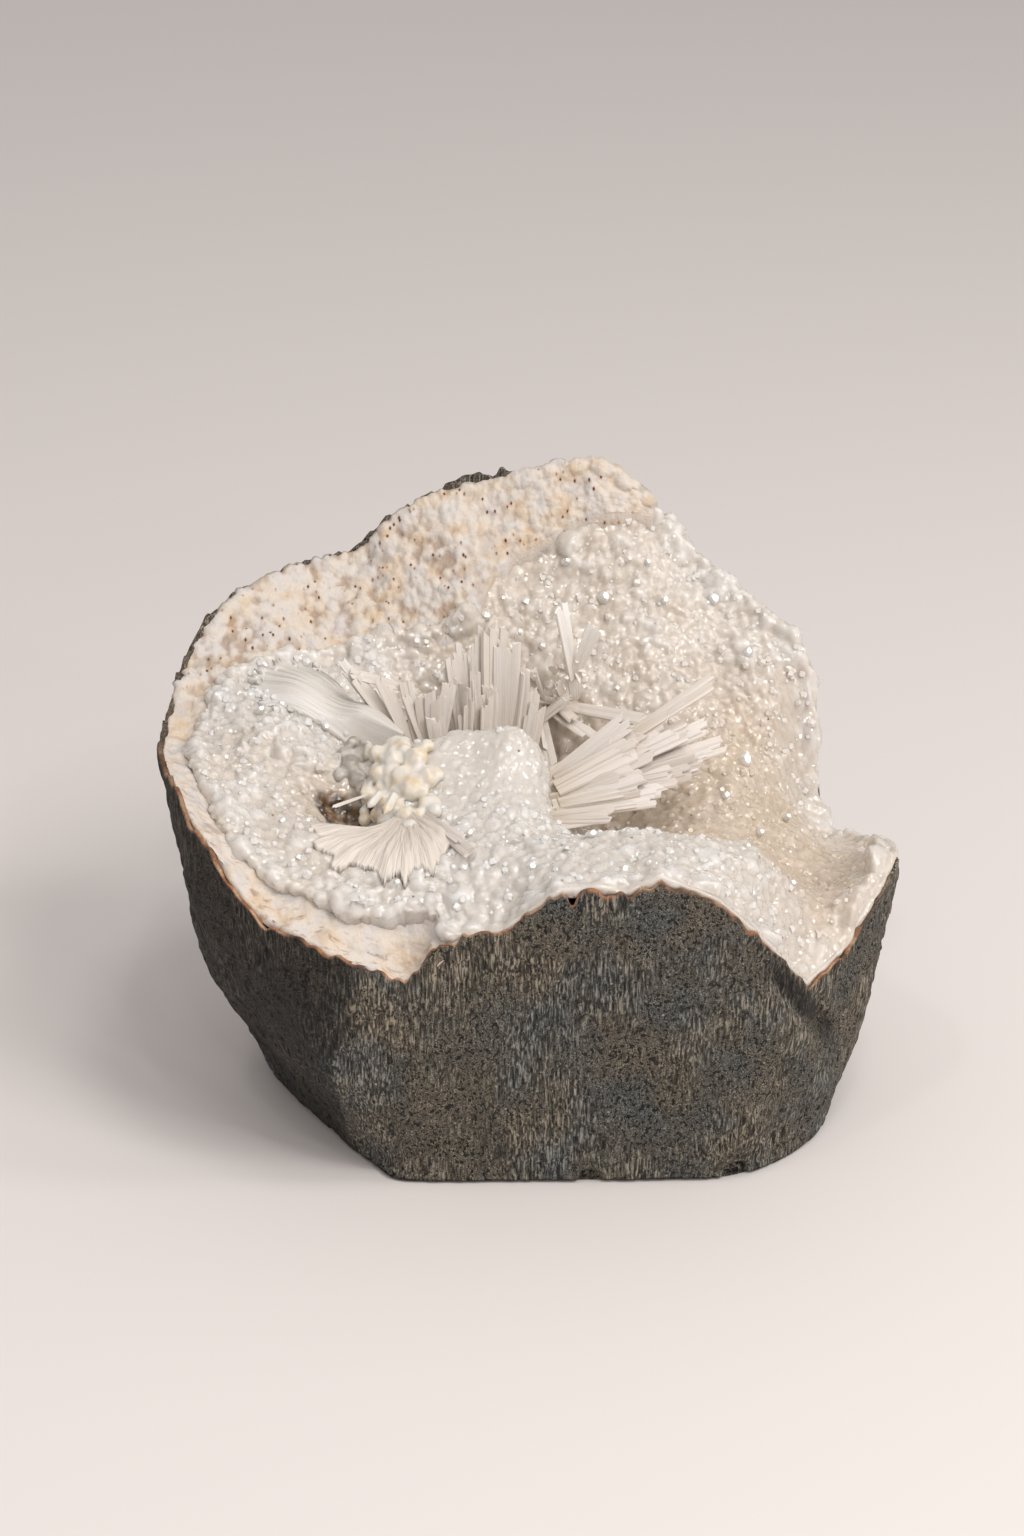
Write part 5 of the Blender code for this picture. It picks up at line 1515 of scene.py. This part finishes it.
def make_silky_patch(material):
    """A fan of silky fibres that lies on the front left, torn into pointed locks."""
    draw = np.random.default_rng(42)
    v = np.linspace(0, 1, SILKY_COLUMNS)
    u = np.linspace(0.02, 1, SILKY_ROWS)
    out = u[:, None]
    tips = through([(*tip, 0) for tip in SILKY_TIPS], v)[:, :2]
    root = np.array(SILKY_ROOT, float)
    locks = [tall * np.exp(-np.abs((v - at) / wide) ** 1.8) for at, wide, tall in SILKY_LOCKS]
    locks = np.max(locks, axis=0)
    line = in_line(v, 60)
    lengths = 0.86 + 0.14 * locks + 0.05 * wave(line, 1.6, 2) + 0.02 * draw.uniform(-1, 1, len(v))
    # The fibres sweep sideways a little as they run out
    swept = np.clip(v[None] + 0.035 * out**2 * wave(line, 9.0, 4)[None], 0, 1)
    ends = np.stack([np.interp(swept, v, tips[:, 0]), np.interp(swept, v, tips[:, 1])], 2)
    at = root + (ends - root) * (out[..., None] * lengths[None, :, None])
    ground = FREE.height(at[..., 0], at[..., 1])
    fibres = np.stack([swept * 60, 0 * swept, out * 6 + 0 * swept], 2)
    ridges = waves(fibres.reshape(-1, 3), 2.2, 4, 5).reshape(swept.shape)
    lift = 1.2 + 0.30 * ridges * mixed(0, 0.25, out) + 0.3 * locks[None] * out
    lift = lift - 0.9 * mixed(0.75, 1, out) + 0.8 * mixed(0.3, 0, out)
    top = np.concatenate([at, (ground + lift)[..., None]], 2)
    under = np.concatenate([at, (ground - 1.2)[..., None]], 2)
    values = fibre_values(u, v, 60, 0.7, 0.3, 11, 0.35)
    return closed_sheet("silky_scolecite_patch", material, top, under, values)


# Cream balls

CREAM_BALLS = [
    (-27.4, -10.2, 2.5), (-30.2, -11.4, 2.2), (-25.5, -14.4, 2.6), (-29.0, -16.5, 2.3), (-23.5, -17.5, 2.6),
    (-26.8, -20.5, 2.4), (-24.5, -24.5, 2.4), (-20.0, -22.5, 2.4), (-22.8, -11.5, 2.4), (-30.5, -7.0, 2.2),
    (-20.5, -16.0, 2.3), (-31.5, -14.0, 2.0), (-27.5, -5.5, 2.2), (-23.8, -28.0, 1.9),
]
# Lumps round each ball, and the most they are moved, as shares of its radius
BALL_LUMPS = 7
LUMP_SHARES = (0.4, 0.8)
GREY_GRAINS = [
    (-37.5, -2.5, 76, 2.0), (-36.2, -6, 75.6, 2.2), (-38.4, -8.0, 73.8, 1.8), (-34.8, -8.8, 73.3, 2.1),
    (-33.8, -4, 76.6, 2.0), (-35.8, 0.5, 76.8, 1.8), (-33.4, -11.5, 72.3, 1.8),
]
CREAM_PRISMS = [
    ((-27, -21.5, 75), (-29, -26.5, 73), 2.4), ((-30, -18.5, 74), (-32.5, -22.5, 72.5), 2.2),
    ((-32.4, -11.5, 73.5), (-33.5, -16.0, 71.5), 2.6),
]
FLAT_FACES, FLAT_FACE_CUT = 5, 0.80
VOXEL = 0.34


def ball(centre, radius, rings, seed):
    """Points and faces of one slightly lumpy ball."""
    theta = np.linspace(0, pi, rings + 1)[1:-1]
    phi = np.arange(2 * rings) * pi / rings
    t, p = np.meshgrid(theta, phi, indexing="ij")
    out = np.stack([np.sin(t) * np.cos(p), np.sin(t) * np.sin(p), np.cos(t)], 2).reshape(-1, 3)
    out = np.concatenate([out, [[0, 0, 1], [0, 0, -1]]])
    lumps = 0.10 * wave(out * 2.2 + seed * 3.1, 1.0, seed) + 0.04 * wave(out * 6, 1.0, seed + 3)
    spread = radius * (1 + lumps)
    points = np.array(centre) + out * spread[:, None]
    columns = 2 * rings
    n = len(theta) * columns
    caps = [fan_faces(n, np.arange(columns)), fan_faces(n + 1, np.arange(n - columns, n)[::-1])]
    return points, band_faces(len(theta), columns), np.concatenate(caps)


def prism(foot, tip, width, draw):
    """A stubby four-sided crystal with a pointed end."""
    foot, tip = np.array(foot, float), np.array(tip, float)
    axis = unit(tip - foot)
    side = unit(np.cross(axis, unit(draw.normal(size=3))))
    other = np.cross(axis, side)
    turn = np.arange(4) * pi / 2
    ring = side * (np.cos(turn) * width / 2)[:, None] + other * (np.sin(turn) * width / 2)[:, None]
    points = [foot + ring, foot + (tip - foot) * 0.7 + ring, [foot - axis * width / 3, tip]]
    faces = band_faces(2, 4)
    caps = np.concatenate([fan_faces(8, np.arange(4)[::-1]), fan_faces(9, np.arange(4, 8))])
    return np.concatenate(points), faces, caps


def cream_lumps(draw):
    """Middles and radii of the cream balls, with smaller lumps on each, and of the grey grains."""
    lumps = [(free_point(x, y, 0.2), radius) for x, y, radius in CREAM_BALLS]
    for x, y, radius in CREAM_BALLS:
        for _ in range(BALL_LUMPS):
            off = np.clip(draw.normal(size=2), -1.2, 1.2) * radius * 0.75
            at = free_point(x + off[0], y + off[1], draw.uniform(-0.6, 0.6))
            lumps.append((at, radius * draw.uniform(*LUMP_SHARES)))
    for x, y, z, radius in GREY_GRAINS:
        lumps.append((np.array([x, y, z - 0.4]), radius))
        for _ in range(3):
            lumps.append((np.array([x, y, z]) + draw.normal(size=3) * 0.9, draw.uniform(0.8, 1.3)))
    return lumps


def make_balls(material):
    """Lumps of cream mineral and greyish grains beside them, grown into one another."""
    draw = np.random.default_rng(51)
    forms = []
    for number, (centre, radius) in enumerate(cream_lumps(draw)):
        points, faces, caps = ball(centre, radius, 9, number)
        # A few flat faces cut each lump like a crystal
        for flat in unit(draw.normal(size=(FLAT_FACES, 3)) + (0, -0.4, 0.5)):
            over = np.maximum((points - centre) @ flat - FLAT_FACE_CUT * radius, 0)
            points = points - flat * over[:, None]
        forms.append((points, faces, caps))
    forms += [prism(foot, tip, width, draw) for foot, tip, width in CREAM_PRISMS]
    first = np.cumsum([0] + [len(points) for points, _, _ in forms])
    points = np.concatenate([points for points, _, _ in forms])
    faces = np.concatenate([faces + start for (_, faces, _), start in zip(forms, first)])
    caps = np.concatenate([caps + start for (_, _, caps), start in zip(forms, first)])
    loose = outward(mesh_object("loose lumps", points, [faces, caps], material))
    remesh = loose.modifiers.new("grown together", "REMESH")
    remesh.mode = "VOXEL"
    remesh.voxel_size = VOXEL * MM
    smooth = loose.modifiers.new("rounded", "SMOOTH")
    smooth.factor = 0.5
    smooth.iterations = 3
    mesh = bpy.data.meshes.new_from_object(loose.evaluated_get(bpy.context.evaluated_depsgraph_get()))
    bpy.data.objects.remove(loose)
    mesh.shade_smooth()
    obj = bpy.data.objects.new("cream_mineral_balls", mesh)
    bpy.context.scene.collection.objects.link(obj)

    # The lumps near the grey grains are grey too
    at = np.empty(len(mesh.vertices) * 3, np.float32)
    mesh.vertices.foreach_get("co", at)
    at = at.reshape(-1, 3) / MM + (*MIDDLE, 0)
    grey_at = np.array([spot[:3] for spot in GREY_GRAINS], float)
    away = np.min(np.linalg.norm(at[:, None] - grey_at[None], axis=2), axis=1)
    grey = mixed(3.2, 1.6, away)
    mesh.attributes.new("grey", "FLOAT", "POINT").data.foreach_set("value", grey.astype(np.float32))
    return obj


# Stage, light and camera

CAMERA_AT = (-3.95, -678.1, 372.4)
CAMERA_TILT = 66
CAMERA_LENS = 85
FLOOR_SIZE = 3.0
FLOOR_AT = (0, 0.6, -0.0002)
ROOM_LIGHT = 0.58
LAMPS_LOOK_AT = (0, 0, 0.06)
# Soft lamps round the upper right front, small enough each to glint on flat crystal faces:
# place in metres, diameter, power
LAMPS = [
    ((0.55, -0.60, 0.95), 0.45, 5.2), ((0.20, -0.25, 1.15), 0.22, 1.6), ((0.85, -0.20, 0.85), 0.18, 1.6),
    ((0.05, -0.95, 0.85), 0.08, 0.6), ((-0.25, -0.45, 1.05), 0.08, 0.6), ((0.45, -1.05, 0.55), 0.08, 0.6),
    ((0.35, -0.80, 0.75), 0.06, 0.5), ((0.10, -0.55, 1.05), 0.06, 0.5), ((0.70, -0.75, 0.60), 0.06, 0.5),
]


def make_stage():
    bpy.ops.mesh.primitive_plane_add(size=FLOOR_SIZE, location=FLOOR_AT)
    floor = bpy.context.object
    floor.name = "floor"
    floor.data.materials.append(floor_finish())


def area_light(name, at, size, power, colour):
    data = bpy.data.lights.new(name, "AREA")
    data.shape = "DISK"
    data.size = size
    data.energy = power
    data.color = linear(colour)[:3]
    lamp = bpy.data.objects.new(name, data)
    bpy.context.scene.collection.objects.link(lamp)
    lamp.location = at
    lamp.rotation_euler = (Vector(LAMPS_LOOK_AT) - Vector(at)).to_track_quat("-Z", "Y").to_euler()


def make_light():
    scene = bpy.context.scene
    scene.view_settings.view_transform = "Standard"
    world = bpy.data.worlds.new("pale room")
    scene.world = world
    world.use_nodes = True
    background = world.node_tree.nodes["Background"]
    background.inputs["Color"].default_value = linear("#efebea")
    background.inputs["Strength"].default_value = ROOM_LIGHT
    for number, (at, size, power) in enumerate(LAMPS):
        area_light(f"lamp {number + 1}", at, size, power, "#fffdfb")


def make_camera():
    data = bpy.data.cameras.new("camera")
    data.lens = CAMERA_LENS
    camera = bpy.data.objects.new("camera", data)
    bpy.context.scene.collection.objects.link(camera)
    camera.location = [c * MM for c in CAMERA_AT]
    camera.rotation_euler = (radians(CAMERA_TILT), 0, 0)
    bpy.context.scene.camera = camera


def settle(obj, slot, *nodes):
    """The piece rides on the stone and stands for the CAD nodes, which it hides. The slot is not used."""
    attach(obj, "root")
    if nodes:
        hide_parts(*nodes)


# Root, middle and tip colours and the roughness of each needle finish; the darker roots are painted shade
NEEDLE_FINISHES = {
    "scolecite needles": (("#d2c6b7", "#ddd4ca", "#e2dad2"), 0.32),
    "scolecite fan needles": (("#c8bbab", "#d3c9bf", "#d9d0c8"), 0.32),
    "pale scolecite needles": (("#e2d9cd", "#f0eae3", "#f6f2ed"), 0.3),
    "scolecite fan": (("#dad3cb", "#dfdad4", "#e4e0db"), 0.34),
    "silky scolecite": (("#b7a791", "#d0c5b9", "#dfd6cc"), 0.4),
}
# Pieces of needles that stand for a CAD node: piece, finish, node
STANDING_NEEDLES = [
    ("right_needle_fan", "scolecite fan needles", "scolecite_fan_right"),
    ("centre_needle_bundle", "scolecite needles", "scolecite_bundle_centre"),
    ("left_needle_spray", "scolecite needles", "scolecite_spray_left"),
    ("needle_pair", "pale scolecite needles", "scolecite_pair_back"),
    ("crossing_needles", "scolecite needles", "scolecite_blades_crossing"),
]


def make_pieces():
    sugar, glassy = sugar_finish(), bright_face_finish()
    silky = {name: needle_finish(name, *look) for name, look in NEEDLE_FINISHES.items()}

    settle(make_basalt(basalt_finish()), "basalt", "basalt_matrix")
    crust = make_crust(milky_finish())
    settle(crust, "milky_crystal", "druse_crust")
    settle(sown_crystals(crust, "sugary_grains", GRAINS, sugar), "milky_crystal")
    settle(sown_crystals(crust, "sparkling_faces", SPARKLES, glassy), "milky_crystal")
    settle(make_bright_faces(glassy), "milky_crystal")
    settle(make_rind(rind_finish()), "rind", "creamy_rind")
    for piece, finish, node in STANDING_NEEDLES:
        settle(make_needles(piece, silky[finish]), "scolecite", node)
    left_fan = make_left_fan(silky["scolecite fan"])
    settle(left_fan, "scolecite", "scolecite_fan_left")
    settle(sown_crystals(left_fan, "fan_end_grains", FAN_END_GRAINS, sugar), "milky_crystal")
    settle(make_silky_patch(silky["silky scolecite"]), "scolecite", "scolecite_silky_patch")
    settle(make_needles("loose_scolecite_blades", silky["scolecite needles"]), "scolecite")
    settle(make_balls(cream_finish()), "cream_mineral", "cream_ball_cluster")


make_camera()
make_light()
make_stage()
make_pieces()
